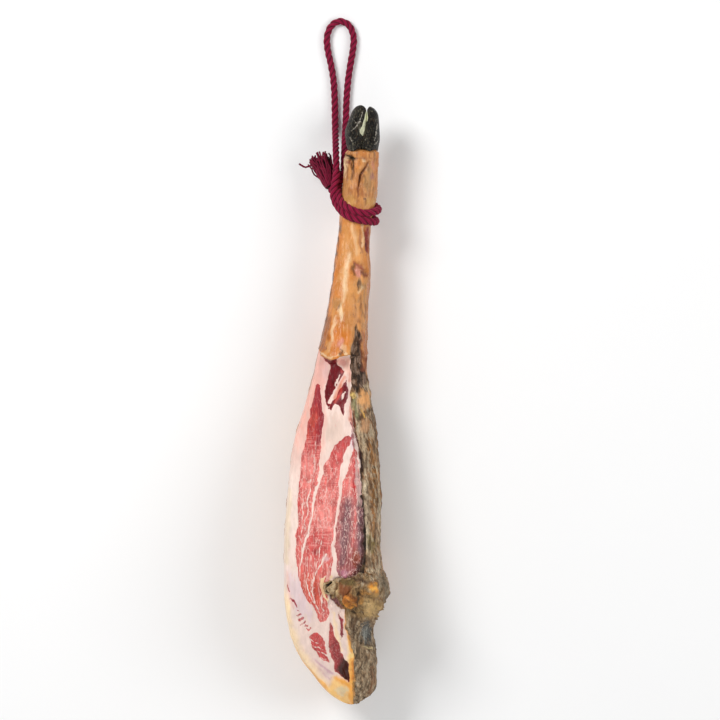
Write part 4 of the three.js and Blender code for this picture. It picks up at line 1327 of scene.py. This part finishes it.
# The two turns round the shank: each strand comes in at the left, crosses the front and goes behind
LOWER_TURN = [
    (-1, 330, 62), (-0.9, 324, 63.4), (-1.5, 317, 65.5), (-3.4, 309, 68), (-4.7, 301, 69.5),
    (-4.4, 293, 71), (-1.9, 284.7, 73.5), (3.5, 276, 80), (11.2, 267.7, 91), (21, 262.4, 95.3),
    (31, 259.6, 95.8), (41, 257.9, 92), (49.5, 257, 83), (54, 258, 69), (52, 261, 54), (43, 267, 42.4),
    (30, 273, 38), (15, 280, 41), (5, 288, 50), (0.5, 298, 63),
]
UPPER_TURN = [
    (9.5, 330, 48), (9.4, 324, 49.8), (6, 317, 51.5), (2.5, 311, 55), (0.8, 304, 61), (1.8, 296, 70),
    (5.3, 286, 80), (11.5, 278.8, 90), (21, 273, 95.4), (31, 269.6, 96.2), (41, 268.4, 93),
    (50.5, 270.3, 86), (57.2, 274, 69), (55.5, 278, 54), (46, 284, 41.5), (33, 290, 36.6),
    (18, 296, 38.8), (7, 300.5, 43.5), (-1, 302, 43.5), (-8, 303.5, 46.5), (-10.5, 308, 50.5),
]
TURN_SWELL = 1.17  # how much thicker the slack turns are than the loop
ROUTE_SPACING = 2.0  # millimetres
STRAND_SHARE = 0.53  # of the rope's diameter
STRAND_STEP = 0.0018
STRAND_SIDES = 10
YARN_PITCH = 0.009  # metres of strand in which its yarns go once round
YARNS_ROUND = 8
FRAY_ROOT = (-10, 307, 52)
FRAY_END = (-25, 348, 34)
LOOSE_YARN = [(-20, 330, 44), (-28, 334.6, 43), (-37, 337.4, 40), (-45, 335.2, 38), (-53.8, 340, 37)]


def smooth_route(corners, spacing):
    """Points along a centripetal Catmull-Rom curve through corners, about spacing apart."""
    knots = [Vector(corner) for corner in corners]
    knots = [knots[0] * 2 - knots[1]] + knots + [knots[-1] * 2 - knots[-2]]
    points = []
    for p0, p1, p2, p3 in zip(knots, knots[1:], knots[2:], knots[3:]):
        gaps = [math.sqrt((b - a).length) for a, b in ((p0, p1), (p1, p2), (p2, p3))]
        t1 = gaps[0]
        t2 = t1 + gaps[1]
        t3 = t2 + gaps[2]
        count = max(2, round((p2 - p1).length / spacing))
        for i in range(count):
            t = blend(t1, t2, i / count)
            a1 = p0 * ((t1 - t) / t1) + p1 * (t / t1)
            a2 = p1 * ((t2 - t) / (t2 - t1)) + p2 * ((t - t1) / (t2 - t1))
            a3 = p2 * ((t3 - t) / (t3 - t2)) + p3 * ((t - t2) / (t3 - t2))
            b1 = a1 * ((t2 - t) / t2) + a2 * (t / t2)
            b2 = a2 * ((t3 - t) / (t3 - t1)) + a3 * ((t - t1) / (t3 - t1))
            points.append(b1 * ((t2 - t) / (t2 - t1)) + b2 * ((t - t1) / (t2 - t1)))
    return points + [knots[-2]]


def route_length(points):
    """The length of a line through points."""
    return sum((b - a).length for a, b in zip(points, points[1:]))


class Growth(Maker):
    """A geometry tree with named inputs: what is given at each, and the name of its socket."""

    def __init__(self, name, sizes):
        super().__init__(bpy.data.node_groups.new(name, "GeometryNodeTree"))
        self.tree.interface.new_socket("Geometry", in_out="INPUT", socket_type="NodeSocketGeometry")
        self.tree.interface.new_socket("Geometry", in_out="OUTPUT", socket_type="NodeSocketGeometry")
        self.inputs = {}
        for size, kind in sizes.items():
            socket = self.tree.interface.new_socket(size, in_out="INPUT", socket_type="NodeSocket" + kind)
            self.inputs[size] = socket.identifier
        start = self.tree.nodes.new("NodeGroupInput")
        self.given = {socket.name: Value(self, socket) for socket in start.outputs if socket.name}

    def close(self, geometry, material):
        """Ends the tree in Realize Instances and Set Material."""
        real = self.node("GeometryNodeRealizeInstances", {}, {"Geometry": geometry})
        shown = self.node("GeometryNodeSetMaterial", {}, {"Geometry": real, "Material": material})
        self.node("NodeGroupOutput", {}, {"Geometry": shown})

    def store(self, geometry, name, kind, value):
        """Keeps a value on each point under a name that the material reads."""
        settings = {"data_type": kind, "domain": "POINT"}
        return self.node("GeometryNodeStoreNamedAttribute", settings,
                         {"Geometry": geometry, "Name": name, "Value": value})

    def copies(self, mode, division, amount):
        """Copies of the lines that come in, evenly divided, with each copy's index and length so far."""
        lines = self.node("GeometryNodeMeshToCurve", {}, {"Mesh": self.given["Geometry"]})
        even = self.node("GeometryNodeResampleCurve", {"mode": mode}, {"Curve": lines, **division})
        copied = self.node("GeometryNodeDuplicateElements", {"domain": "SPLINE"},
                           {"Geometry": even, "Amount": amount})
        index = Value(self, copied.socket.node.outputs["Duplicate Index"])
        length = self.node("GeometryNodeSplineParameter", {}, {}, "Length")
        return self.store(copied, "along_strand", "FLOAT", length), index, length

    def outwards(self, angle):
        """The direction across a line, turned about the line by an angle."""
        inputs = {
            "Vector": self.node("GeometryNodeInputNormal"), "Axis": self.node("GeometryNodeInputTangent"),
            "Angle": angle,
        }
        return self.node("ShaderNodeVectorRotate", {"rotation_type": "AXIS_ANGLE"}, inputs)

    def draw_strands(self, lines, outwards, offset, radius, sides, material):
        """Ends the tree in a round strand along every line, moved by offset.

        A strand stores its angle round itself, and how far it faces away from the rope's middle for painted
        shade.
        """
        kept = self.store(lines, "strand_side", "FLOAT_VECTOR", outwards)
        moved = self.node("GeometryNodeSetPosition", {}, {"Geometry": kept, "Offset": offset})
        circle = {"Resolution": sides, "Radius": radius}
        outline = self.node("GeometryNodeCurvePrimitiveCircle", {}, circle, "Curve")
        place = self.node("GeometryNodeInputPosition")
        unit = self.node("ShaderNodeVectorMath", {"operation": "NORMALIZE"}, {0: place})
        outline = self.store(outline, "round_strand", "FLOAT_VECTOR", unit)
        tube = self.node("GeometryNodeCurveToMesh", {},
                         {"Curve": moved, "Profile Curve": outline, "Fill Caps": True})
        side = self.node("GeometryNodeInputNamedAttribute", {"data_type": "FLOAT_VECTOR"},
                         {"Name": "strand_side"})
        facing = self.node("GeometryNodeInputNormal")
        crown = self.node("ShaderNodeVectorMath", {"operation": "DOT_PRODUCT"}, {0: facing, 1: side}, 1)
        self.close(self.store(tube, "crown", "FLOAT", crown), material)


def grow(name, points, edges, growth, sizes):
    """Runs a geometry tree on points in metres and keeps the result as a plain mesh object."""
    mesh = bpy.data.meshes.new(name)
    mesh.from_pydata(points, edges, [])
    piece = bpy.data.objects.new(name, mesh)
    bpy.context.collection.objects.link(piece)
    modifier = piece.modifiers.new(name, "NODES")
    modifier.node_group = growth.tree
    for size, value in sizes.items():
        modifier[growth.inputs[size]] = value
    evaluated = piece.evaluated_get(bpy.context.evaluated_depsgraph_get())
    grown = bpy.data.meshes.new_from_object(evaluated)
    piece.modifiers.clear()
    piece.data = grown
    grown.name = name
    grown.shade_smooth()
    return piece


def laid_rope_growth(material):
    """Three strands twisted round every line that comes in."""
    growth = Growth("laid_rope", {
        "Diameter": "Float", "Lay Length": "Float", "Strand Share": "Float", "Step": "Float",
        "Strand Sides": "Int",
    })
    given = growth.given
    lines, index, length = growth.copies("LENGTH", {"Length": given["Step"]}, 3)
    outwards = growth.outwards(index * (FULL_TURN / 3) + length / given["Lay Length"] * FULL_TURN)
    strand = given["Diameter"] * given["Strand Share"]
    offset = outwards * ((given["Diameter"] - strand) * 0.5)
    growth.draw_strands(lines, outwards, offset, strand * 0.5, given["Strand Sides"], material)
    return growth


def make_rope(name, routes, diameter, lay, material):
    """A laid rope along routes in millimetres."""
    points = []
    edges = []
    for route in routes:
        start = len(points)
        line = [point * MILLIMETRE for point in smooth_route(route, ROUTE_SPACING)]
        points += line
        edges += [(start + i, start + i + 1) for i in range(len(line) - 1)]
    settings = {
        "Diameter": diameter, "Lay Length": lay, "Strand Share": STRAND_SHARE, "Step": STRAND_STEP,
        "Strand Sides": STRAND_SIDES,
    }
    return grow(name, points, edges, laid_rope_growth(material), settings)


def fray_growth(material):
    """Loose yarns that fan out of the rope's cut end, each with its own length and bend."""
    growth = Growth("frayed_yarns", {
        "Yarns": "Int", "Yarn Diameter": "Float", "Root Radius": "Float", "Spread": "Float",
        "Curl": "Float", "Seed": "Int",
    })
    given = growth.given
    lines, index, _ = growth.copies("COUNT", {"Count": 12}, given["Yarns"])
    along = growth.node("GeometryNodeSplineParameter", {}, {}, "Factor")

    def chance(high, offset):
        node = growth.tree.nodes.new("FunctionNodeRandomValue")
        node.data_type = "FLOAT"
        sockets = {socket.identifier: socket for socket in node.inputs}
        sockets["Min_001"].default_value = 0.0
        sockets["Max_001"].default_value = high
        growth.tree.links.new(index.socket, sockets["ID"])
        growth.tree.links.new((given["Seed"] + offset).socket, sockets["Seed"])
        return Value(growth, next(s for s in node.outputs if s.identifier == "Value_001"))

    outwards = growth.outwards(chance(FULL_TURN, 1))
    radius = chance(1.0, 2).apply("SQRT")
    fanned = radius * (given["Root Radius"] + given["Spread"] * along.apply("POWER", 0.9))
    shorter = (chance(1.0, 3).apply("POWER", 2.2) * -0.42 + 0.06) * along
    run = given["Spread"] * 2.4
    place = growth.node("GeometryNodeInputPosition")
    wave = growth.node("ShaderNodeTexNoise", {"noise_dimensions": "4D"},
                       {"Vector": place, "W": index * 3.1, "Scale": 60.0, "Detail": 1.0}, "Color")
    curl = (wave - 0.5) * (given["Curl"] * along)
    tangent = growth.node("GeometryNodeInputTangent")
    offset = outwards * fanned + tangent * (shorter * run) + curl
    growth.draw_strands(lines, outwards, offset, given["Yarn Diameter"] * 0.5, 6, material)
    return growth


# The hoof

def toe_sides(tip_y, inner, outer):
    """One toe: how far it reaches, and where its inner and outer sides lie along y."""
    return {"tip_y": tip_y, "inner": profile(inner), "outer": profile(outer)}


TOES = {
    "left": toe_sides(
        HOOF_TIP_Y,
        [(FOOT_Y, 34.3), (369, 35.7), (378, 36.7), (392, 39.6), (406, 41.2), (414, 40.8), (418.6, 38.2),
         (HOOF_TIP_Y, 34.5)],
        [(FOOT_Y, 15.4), (365, 12.6), (381, 10.9), (391, 13.3), (402, 17.5), (413, 21.8), (418.6, 26.6),
         (HOOF_TIP_Y, 31.5)],
    ),
    "right": toe_sides(
        HOOF_TIP_Y - 2,
        [(FOOT_Y, 35.1), (369, 37.1), (378, 39.9), (392, 42), (406, 42.3), (414, 42.5),
         (HOOF_TIP_Y - 2, 45)],
        [(FOOT_Y, 57.4), (362, 58.8), (371, 60.2), (391, 59.4), (406, 58), (415, 53.2),
         (HOOF_TIP_Y - 2, 47.6)],
    ),
}
# Where the horn ends on the skin: y over x
horn_edge = profile([
    (9, 358), (14, 357), (20.3, 355.6), (26.6, 357), (30.2, 359.6), (33.6, 358.8), (37.8, 359.8),
    (41.3, 357.4), (45.9, 355.6), (50.4, 357), (54.6, 358.6), (60, 359),
])
# How far the left toe's pale inner wall slopes into the cleft, over y
cleft_slope = profile([
    (FOOT_Y, 0.2), (372, 0.3), (375, 2), (379, 6), (384, 6.2), (390, 3.8), (398, 2.6), (405, 1.6),
    (412, 0.4), (HOOF_TIP_Y, 0.2),
])
TOE_GAP = 0.02  # between the toes where they touch
# Ridges of the worn sole, raised and painted pale, partly as highlights: u, v and width in the photograph's
# pixels
SOLE_RIDGES = [
    [(351, 131, 0.3), (355.6, 127, 0.8), (359.6, 122, 1.2), (362.4, 112, 0.9)],
    [(352.4, 118, 0.2), (356.4, 122.6, 0.7), (358.6, 121, 0.4)],
    [(359.4, 127, 0.7), (361, 131, 0.6)],
    [(377.4, 124, 0.5), (376.2, 133, 1), (374.4, 140, 0.7)],
    [(378.6, 139, 0.5), (376, 143, 0.7), (372.8, 146, 0.4)],
    [(349.6, 136, 0.3), (352, 141, 0.6), (356, 143, 0.3)],
]


# The hollows of the worn sole beside the cleft
SOLE_HOLLOWS = [
    [(352, 146), (349.5, 132), (354, 115), (361, 107), (365, 112), (365.5, 146)],
    [(368.5, 146), (369, 115), (371, 109), (374.5, 118), (375, 146)],
]
TOE_ROWS = 52
TOE_SIDES = 64
TOE_HALF_HEIGHT = 25
TOE_MIDDLES = (68, 76)  # heights of the toe's middle at the skin and at its tip
FLAT_SIDE = 0.35  # share of the toe's half turn that lies flat in the cleft
HORN_LAP = 5.5  # how far the horn's upper edge stands over the skin


def toe_points(toe):
    """Rings of one toe, in millimetres: a wedge of horn with a flat inner side and a worn sole."""
    side = 1 if toe["outer"](FOOT_Y) > toe["inner"](FOOT_Y) else -1
    along = np.sin(np.linspace(0, 0.985, TOE_ROWS) * math.pi / 2)[:, None]
    angle = (np.arange(TOE_SIDES) / TOE_SIDES * FULL_TURN)[None, :]
    facing_up = smooth(np.sin(angle), 0.1, 0.6) * np.ones((TOE_ROWS, TOE_SIDES))
    half_z = TOE_HALF_HEIGHT * power(1 - power(along, 3), 0.5)
    middle_z = blend(*TOE_MIDDLES, along)
    out = (np.maximum(np.cos(angle), -FLAT_SIDE) + FLAT_SIDE) / (1 + FLAT_SIDE)
    plain_y = blend(FOOT_Y, toe["tip_y"], along)
    closing = (TOES["right"]["inner"](plain_y) - TOES["left"]["inner"](plain_y) - TOE_GAP) / 2
    closing = closing * smooth(plain_y, 416, 408)
    slope = cleft_slope(plain_y) * (1 if side < 0 else 0.4)
    opening = slope * smooth(np.sin(angle), 0.6, 0.94)
    inner = toe["inner"](plain_y) + side * (opening - closing)
    x = blend(inner, toe["outer"](plain_y), out)
    z = middle_z + half_z * np.sin(angle) * (1 - 0.12 * np.maximum(np.sin(angle), 0))
    base_y = blend(FOOT_Y + 3.5, horn_edge(x), facing_up)
    y = blend(base_y, toe["tip_y"], along)
    u, v = photo_place(x, y)
    hollow = smooth(np.maximum.reduce([depth_inside(u, v, sole) for sole in SOLE_HOLLOWS]), 0.5, 4)
    ridge = np.max([smooth(-line_nearness(u, v, line), -1.1, 0.3) for line in SOLE_RIDGES], axis=0)
    rough = cloud(x, y, z, 6, 1.5, 3, 3.0)
    rings = cloud(x, y, z, 30, 0.12, 2, 8.0)
    lap = facing_up * HORN_LAP * smooth(along, 0.3, 0.0)
    lift = facing_up * (ridge * 1.8 - hollow * 2.8) + rough * 0.7 + rings * 0.4 + lap
    scale = 1 + lift / np.maximum(half_z, 8)
    z = middle_z + (z - middle_z) * scale
    inner_wall = smooth(out, 0.06, 0.02) * smooth(np.sin(angle), -0.2, 0.2)
    cleft = inner_wall * smooth(v, 137, 134) * smooth(v, 108, 113)
    if side > 0:
        cleft = cleft * smooth(v, 124, 118)
    return np.stack([x, y, z], axis=-1), facing_up * ridge, cleft, side


def make_toe(name, toe, material):
    """One toe of the hoof as a closed mesh."""
    rings, worn, cleft, side = toe_points(toe)
    if side < 0:
        rings = rings[:, ::-1]
        worn = worn[:, ::-1]
        cleft = cleft[:, ::-1]
    piece = add_rings(name, rings, material)
    add_values(piece, {"worn": worn, "cleft": cleft})
    return piece


# The end of the hip bone
BONE_MIDDLE = (-4, -253, 148)
BONE_RADIUS = 10
BONE_LENGTH = 34
BONE_LEAN = 0.5  # radians that it leans over to the left
BONE_SIDES = 72
# Share of the radius and share of half the length, from the hidden end to the top
BONE_OUTLINE = [
    (0.68, -1), (0.72, -0.5), (0.8, 0), (0.93, 0.4), (1.0, 0.62), (1.02, 0.76), (0.97, 0.86), (0.9, 0.9),
    (0.82, 0.93), (0.74, 0.95), (0.66, 0.96), (0.58, 0.97), (0.5, 0.98), (0.42, 0.98), (0.34, 0.99),
    (0.26, 0.99), (0.18, 1), (0.1, 1), (0.04, 1),
]
# The hollow along its broken rim: x, y and width
BONE_HOLLOW = [
    (4, 6.6, 1.6), (0.6, 5, 4.4), (-3.8, 2.2, 3.6), (-5, -2.2, 3), (-3.4, -6, 4), (0, -7.8, 2),
]
BONE_HOLLOW_DEPTH = 6


def bone_points():
    """Rings of the hip bone's end, in millimetres: a worn knuckle with a dark hollow in its top."""
    angle = (np.arange(BONE_SIDES) / BONE_SIDES * FULL_TURN)[None, :]
    share, height = np.split(np.array(BONE_OUTLINE), 2, axis=1)
    height = height * BONE_LENGTH / 2
    x = share * BONE_RADIUS * np.cos(angle)
    y = share * BONE_RADIUS * np.sin(angle)
    z = height + 0 * x
    ragged = cloud(x, y, z, 7, 1, 3, 2.0)
    fine = cloud(x, y, z, 2.5, 1, 2, 6.0)
    on_top = smooth(height, 0, BONE_LENGTH * 0.3)
    z = z + on_top * (ragged * 2.4 + fine * 0.8)
    inward = -line_nearness(x, y, BONE_HOLLOW) + ragged * 1.3
    marrow = smooth(inward, -0.6, 1.4) * smooth(height, 0.6, BONE_LENGTH * 0.36)
    z = z - BONE_HOLLOW_DEPTH * marrow
    swell = 1 + 0.12 * ragged * smooth(share, 0.3, 0.8)
    x = x * swell
    y = y * swell
    cos = math.cos(-BONE_LEAN)
    sin = math.sin(-BONE_LEAN)
    leaned = np.stack([x * cos + z * sin, y, z * cos - x * sin], axis=-1) + np.array(BONE_MIDDLE)
    return leaned[:, ::-1], marrow[:, ::-1]


# What a user may change

def length_field(name, description, default, low, high):
    """A length in metres that a user may change."""
    return FloatProperty(name=name, description=description, default=default, min=low, max=high,
                         unit="LENGTH")


def colour_field(name, description, default=(1.0, 1.0, 1.0)):
    """A colour in linear light that a user may change."""
    return FloatVectorProperty(name=name, description=description, subtype="COLOR", size=3,
                               default=default, min=0.0, max=1.0)


class HamSizes(bpy.types.PropertyGroup):
    """Sizes of the ham's rope and of the camera's place."""

    rope_diameter: length_field("Rope diameter", "Thickness of the laid rope", 0.010, 0.004, 0.02)
    rope_lay: length_field("Rope lay", "Length in which a strand goes once round", 0.029, 0.01, 0.1)
    yarn_diameter: length_field("Yarn diameter", "Thickness of a loose yarn", 0.0022, 0.0005, 0.004)
    yarn_count: IntProperty(name="Yarns", description="How many loose yarns the frayed end has",
                            default=120, min=10, max=400)
    camera_lens: FloatProperty(name="Lens", description="Focal length of the camera in millimetres",
                               default=260.0, min=50.0, max=600.0)


class HamColours(bpy.types.PropertyGroup):
    """Tints of the ham's own tones, and colours of its other parts."""

    lean_tint: colour_field("Lean tint", "Multiplies the tones of the lean meat")
    fat_tint: colour_field("Fat tint", "Multiplies the tones of the fat")
    rind_tint: colour_field("Rind tint", "Multiplies the tones of the rind")
    crust_tint: colour_field("Crust tint", "Multiplies the tones of the crust")
    bone: colour_field("Bone", "Colour of the hip bone's end", linear(196, 172, 132))
    horn: colour_field("Horn", "Colour of the hoof", linear(14, 12, 9))
    rope: colour_field("Rope", "Colour of the rope's yarn", linear(160, 28, 66))
    floor: colour_field("Floor", "Colour of the table or floor", linear(246, 246, 246))


class HAM_OT_body(bpy.types.Operator):
    """Makes the ham itself: carved face, fat, rind and crust in one closed mesh"""

    bl_idname = "cured_ham.body"
    bl_label = "Ham"

    def execute(self, context):
        x, y, z, parts = ham_grid()
        at = HamPlaces(x, y, z, parts, grid_normals(x, y, z))
        crust = crust_share(at)
        lean_depth = lean_depth_of(at)
        flesh_depth = flesh_depth_of(at)
        flesh = smooth(flesh_depth, -0.6, 0.8)
        height = relief(at, crust, lean_depth, flesh)
        resting = smooth(z, 0.0, 6.0)
        quiet = np.where(at.normals[..., 2] < -0.2, 0.5 * resting, 1.0)
        points = np.stack([x, y, z], axis=-1) + at.normals * (height * quiet)[..., None]
        points[..., 2] = np.maximum(points[..., 2], 0)
        rind = at.painted(RIND_GOLD, rind_strokes(at) + hidden_fat_strokes(at))
        crusted = at.painted(CRUST_GREY, crust_strokes(at))
        over = crust[..., None]
        ham = add_rings("ham", points, ham_finish(context.scene.ham_colours))
        add_colours(ham, {
            "lean_tone": lean_tones(at), "fat_tone": fat_tones(at),
            "skin_tone": rind * (1 - over) + crusted * over,
        })
        add_values(ham, {
            "lean_depth": lean_depth, "flesh_depth": flesh_depth, "crust": crust,
            "hairiness": hairiness_of(at), "marbling": marbling_of(at), "slicing": slicing_of(at),
        })
        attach(ham, "root")
        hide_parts("ham_body")
        return {"FINISHED"}


class HAM_OT_hip_bone(bpy.types.Operator):
    """Makes the end of the hip bone that sticks out of the carved flesh"""

    bl_idname = "cured_ham.hip_bone"
    bl_label = "Hip bone"

    def execute(self, context):
        rings, marrow = bone_points()
        bone = add_rings("hip_bone_end", rings, bone_finish(context.scene.ham_colours))
        add_values(bone, {"marrow": marrow})
        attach(bone, "root")
        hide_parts("hip_bone")
        return {"FINISHED"}


class HAM_OT_hoof(bpy.types.Operator):
    """Makes the two horn toes of the hoof"""

    bl_idname = "cured_ham.hoof"
    bl_label = "Hoof"

    def execute(self, context):
        material = horn_finish(context.scene.ham_colours)
        for side, toe in TOES.items():
            piece = make_toe("hoof_horn_" + side, toe, material)
            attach(piece, "root")
            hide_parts("hoof_toe_" + side)
        return {"FINISHED"}


class HAM_OT_rope(bpy.types.Operator):
    """Makes the rope: its turns round the shank, its free loop and its frayed end"""

    bl_idname = "cured_ham.rope"
    bl_label = "Rope"

    def execute(self, context):
        sizes = context.scene.ham_sizes
        material = rope_finish(context.scene.ham_colours)
        swollen = sizes.rope_diameter * TURN_SWELL
        turns = make_rope("rope_turns", [LOWER_TURN, UPPER_TURN], swollen, sizes.rope_lay, material)
        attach(turns, "root")
        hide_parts("rope_hitch")
        loop = make_rope("rope_free_loop", [LOOP_ROUTE], sizes.rope_diameter, sizes.rope_lay, material)
        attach(loop, "root")
        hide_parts("rope_loop")
        line = [point * MILLIMETRE for point in smooth_route(LOOP_ROUTE, ROUTE_SPACING)]
        route_length(line)
        root = Vector(FRAY_ROOT) * MILLIMETRE
        end = Vector(FRAY_END) * MILLIMETRE
        settings = {
            "Yarns": sizes.yarn_count, "Yarn Diameter": sizes.yarn_diameter, "Root Radius": 0.006,
            "Spread": 0.0105, "Curl": 0.015, "Seed": 4,
        }
        fray = grow("rope_frayed_end", [root, end], [(0, 1)], fray_growth(material), settings)
        yarn = make_rope("loose_yarn", [LOOSE_YARN], sizes.yarn_diameter * 1.4, sizes.rope_lay / 3, material)
        with context.temp_override(active_object=fray, selected_editable_objects=[fray, yarn]):
            bpy.ops.object.join()
        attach(fray, "root")
        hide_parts("rope_tassel")
        return {"FINISHED"}


FLOOR_SIDE = 30.0
FACE_HEIGHT = 0.10  # metres from the floor to the carved face, which lights and camera aim at
SENSOR = 36.0
FAR_CLIP = 100
SKY = 0.36
# Name, place, side of its square in metres, and watts of each light
LIGHTS = [
    ("key_light", (-1.5, 1.3, 2.2), 1.1, 54), ("fill_light", (2.2, 0.3, 2.0), 1.8, 32),
    ("low_light", (-0.4, -2.4, 1.6), 1.6, 15),
]


class HAM_OT_stage(bpy.types.Operator):
    """Makes the pale floor, the soft lights and the camera straight above"""

    bl_idname = "cured_ham.stage"
    bl_label = "Floor, lights and camera"

    def execute(self, context):
        half = FLOOR_SIDE / 2
        mesh = bpy.data.meshes.new("floor")
        corners = [(-half, -half, 0), (half, -half, 0), (half, half, 0), (-half, half, 0)]
        mesh.from_pydata(corners, [], [(0, 1, 2, 3)])
        mesh.materials.append(floor_finish(context.scene.ham_colours))
        floor = bpy.data.objects.new("floor", mesh)
        context.collection.objects.link(floor)
        for light in LIGHTS:
            self.light(*light)
        world = bpy.data.worlds.new("studio")
        world.use_nodes = True
        backdrop = world.node_tree.nodes["Background"]
        backdrop.inputs["Color"].default_value = (1, 1, 1, 1)
        backdrop.inputs["Strength"].default_value = SKY
        context.scene.world = world
        self.camera(context)
        context.scene.view_settings.view_transform = "Standard"
        return {"FINISHED"}

    def light(self, name, place, side, watts):
        """A square soft light that faces the ham."""
        lamp = bpy.data.lights.new(name, "AREA")
        lamp.shape = "SQUARE"
        lamp.size = side
        lamp.energy = watts
        holder = bpy.data.objects.new(name, lamp)
        holder.location = place
        aim = Vector((0, 0, FACE_HEIGHT)) - Vector(place)
        holder.rotation_euler = aim.to_track_quat("-Z", "Y").to_euler()
        bpy.context.collection.objects.link(holder)

    def camera(self, context):
        """A long lens straight above, which frames the ham as the photograph does."""
        lens = context.scene.ham_sizes.camera_lens
        pixel = PIXEL * MILLIMETRE
        data = bpy.data.cameras.new("camera")
        data.lens = lens
        data.sensor_width = SENSOR
        data.clip_end = FAR_CLIP
        camera = bpy.data.objects.new("camera", data)
        side = (PHOTO_SIDE / 2 - PHOTO_MIDDLE[0]) * pixel
        up = (PHOTO_MIDDLE[1] - PHOTO_SIDE / 2) * pixel
        camera.location = (side, up, FACE_HEIGHT + PHOTO_SIDE * pixel * lens / SENSOR)
        context.collection.objects.link(camera)
        context.scene.camera = camera


class HAM_PT_panel(bpy.types.Panel):
    """Lists the operators that make the ham"""

    bl_label = "Cured ham"
    bl_space_type = "VIEW_3D"
    bl_region_type = "UI"
    bl_category = "Cured ham"

    def draw(self, context):
        for operator in OPERATORS:
            self.layout.operator(operator.bl_idname)
        for group in (context.scene.ham_sizes, context.scene.ham_colours):
            for name in group.__annotations__:
                self.layout.prop(group, name)


OPERATORS = (HAM_OT_body, HAM_OT_hip_bone, HAM_OT_hoof, HAM_OT_rope, HAM_OT_stage)
CLASSES = (HamSizes, HamColours) + OPERATORS + (HAM_PT_panel,)


def register():
    for made in CLASSES:
        bpy.utils.register_class(made)
    bpy.types.Scene.ham_sizes = PointerProperty(type=HamSizes)
    bpy.types.Scene.ham_colours = PointerProperty(type=HamColours)


def unregister():
    del bpy.types.Scene.ham_colours
    del bpy.types.Scene.ham_sizes
    for made in reversed(CLASSES):
        bpy.utils.unregister_class(made)


def corners(box):
    """A box's two corners as plain lists."""
    return [list(corner) for corner in box]


def main():
    """Makes every piece in order."""
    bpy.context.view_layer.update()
    register()
    bpy.ops.cured_ham.stage()
    bpy.ops.cured_ham.rope()
    bpy.ops.cured_ham.hoof()
    bpy.ops.cured_ham.hip_bone()
    bpy.ops.cured_ham.body()


if __name__ == "__main__":
    main()
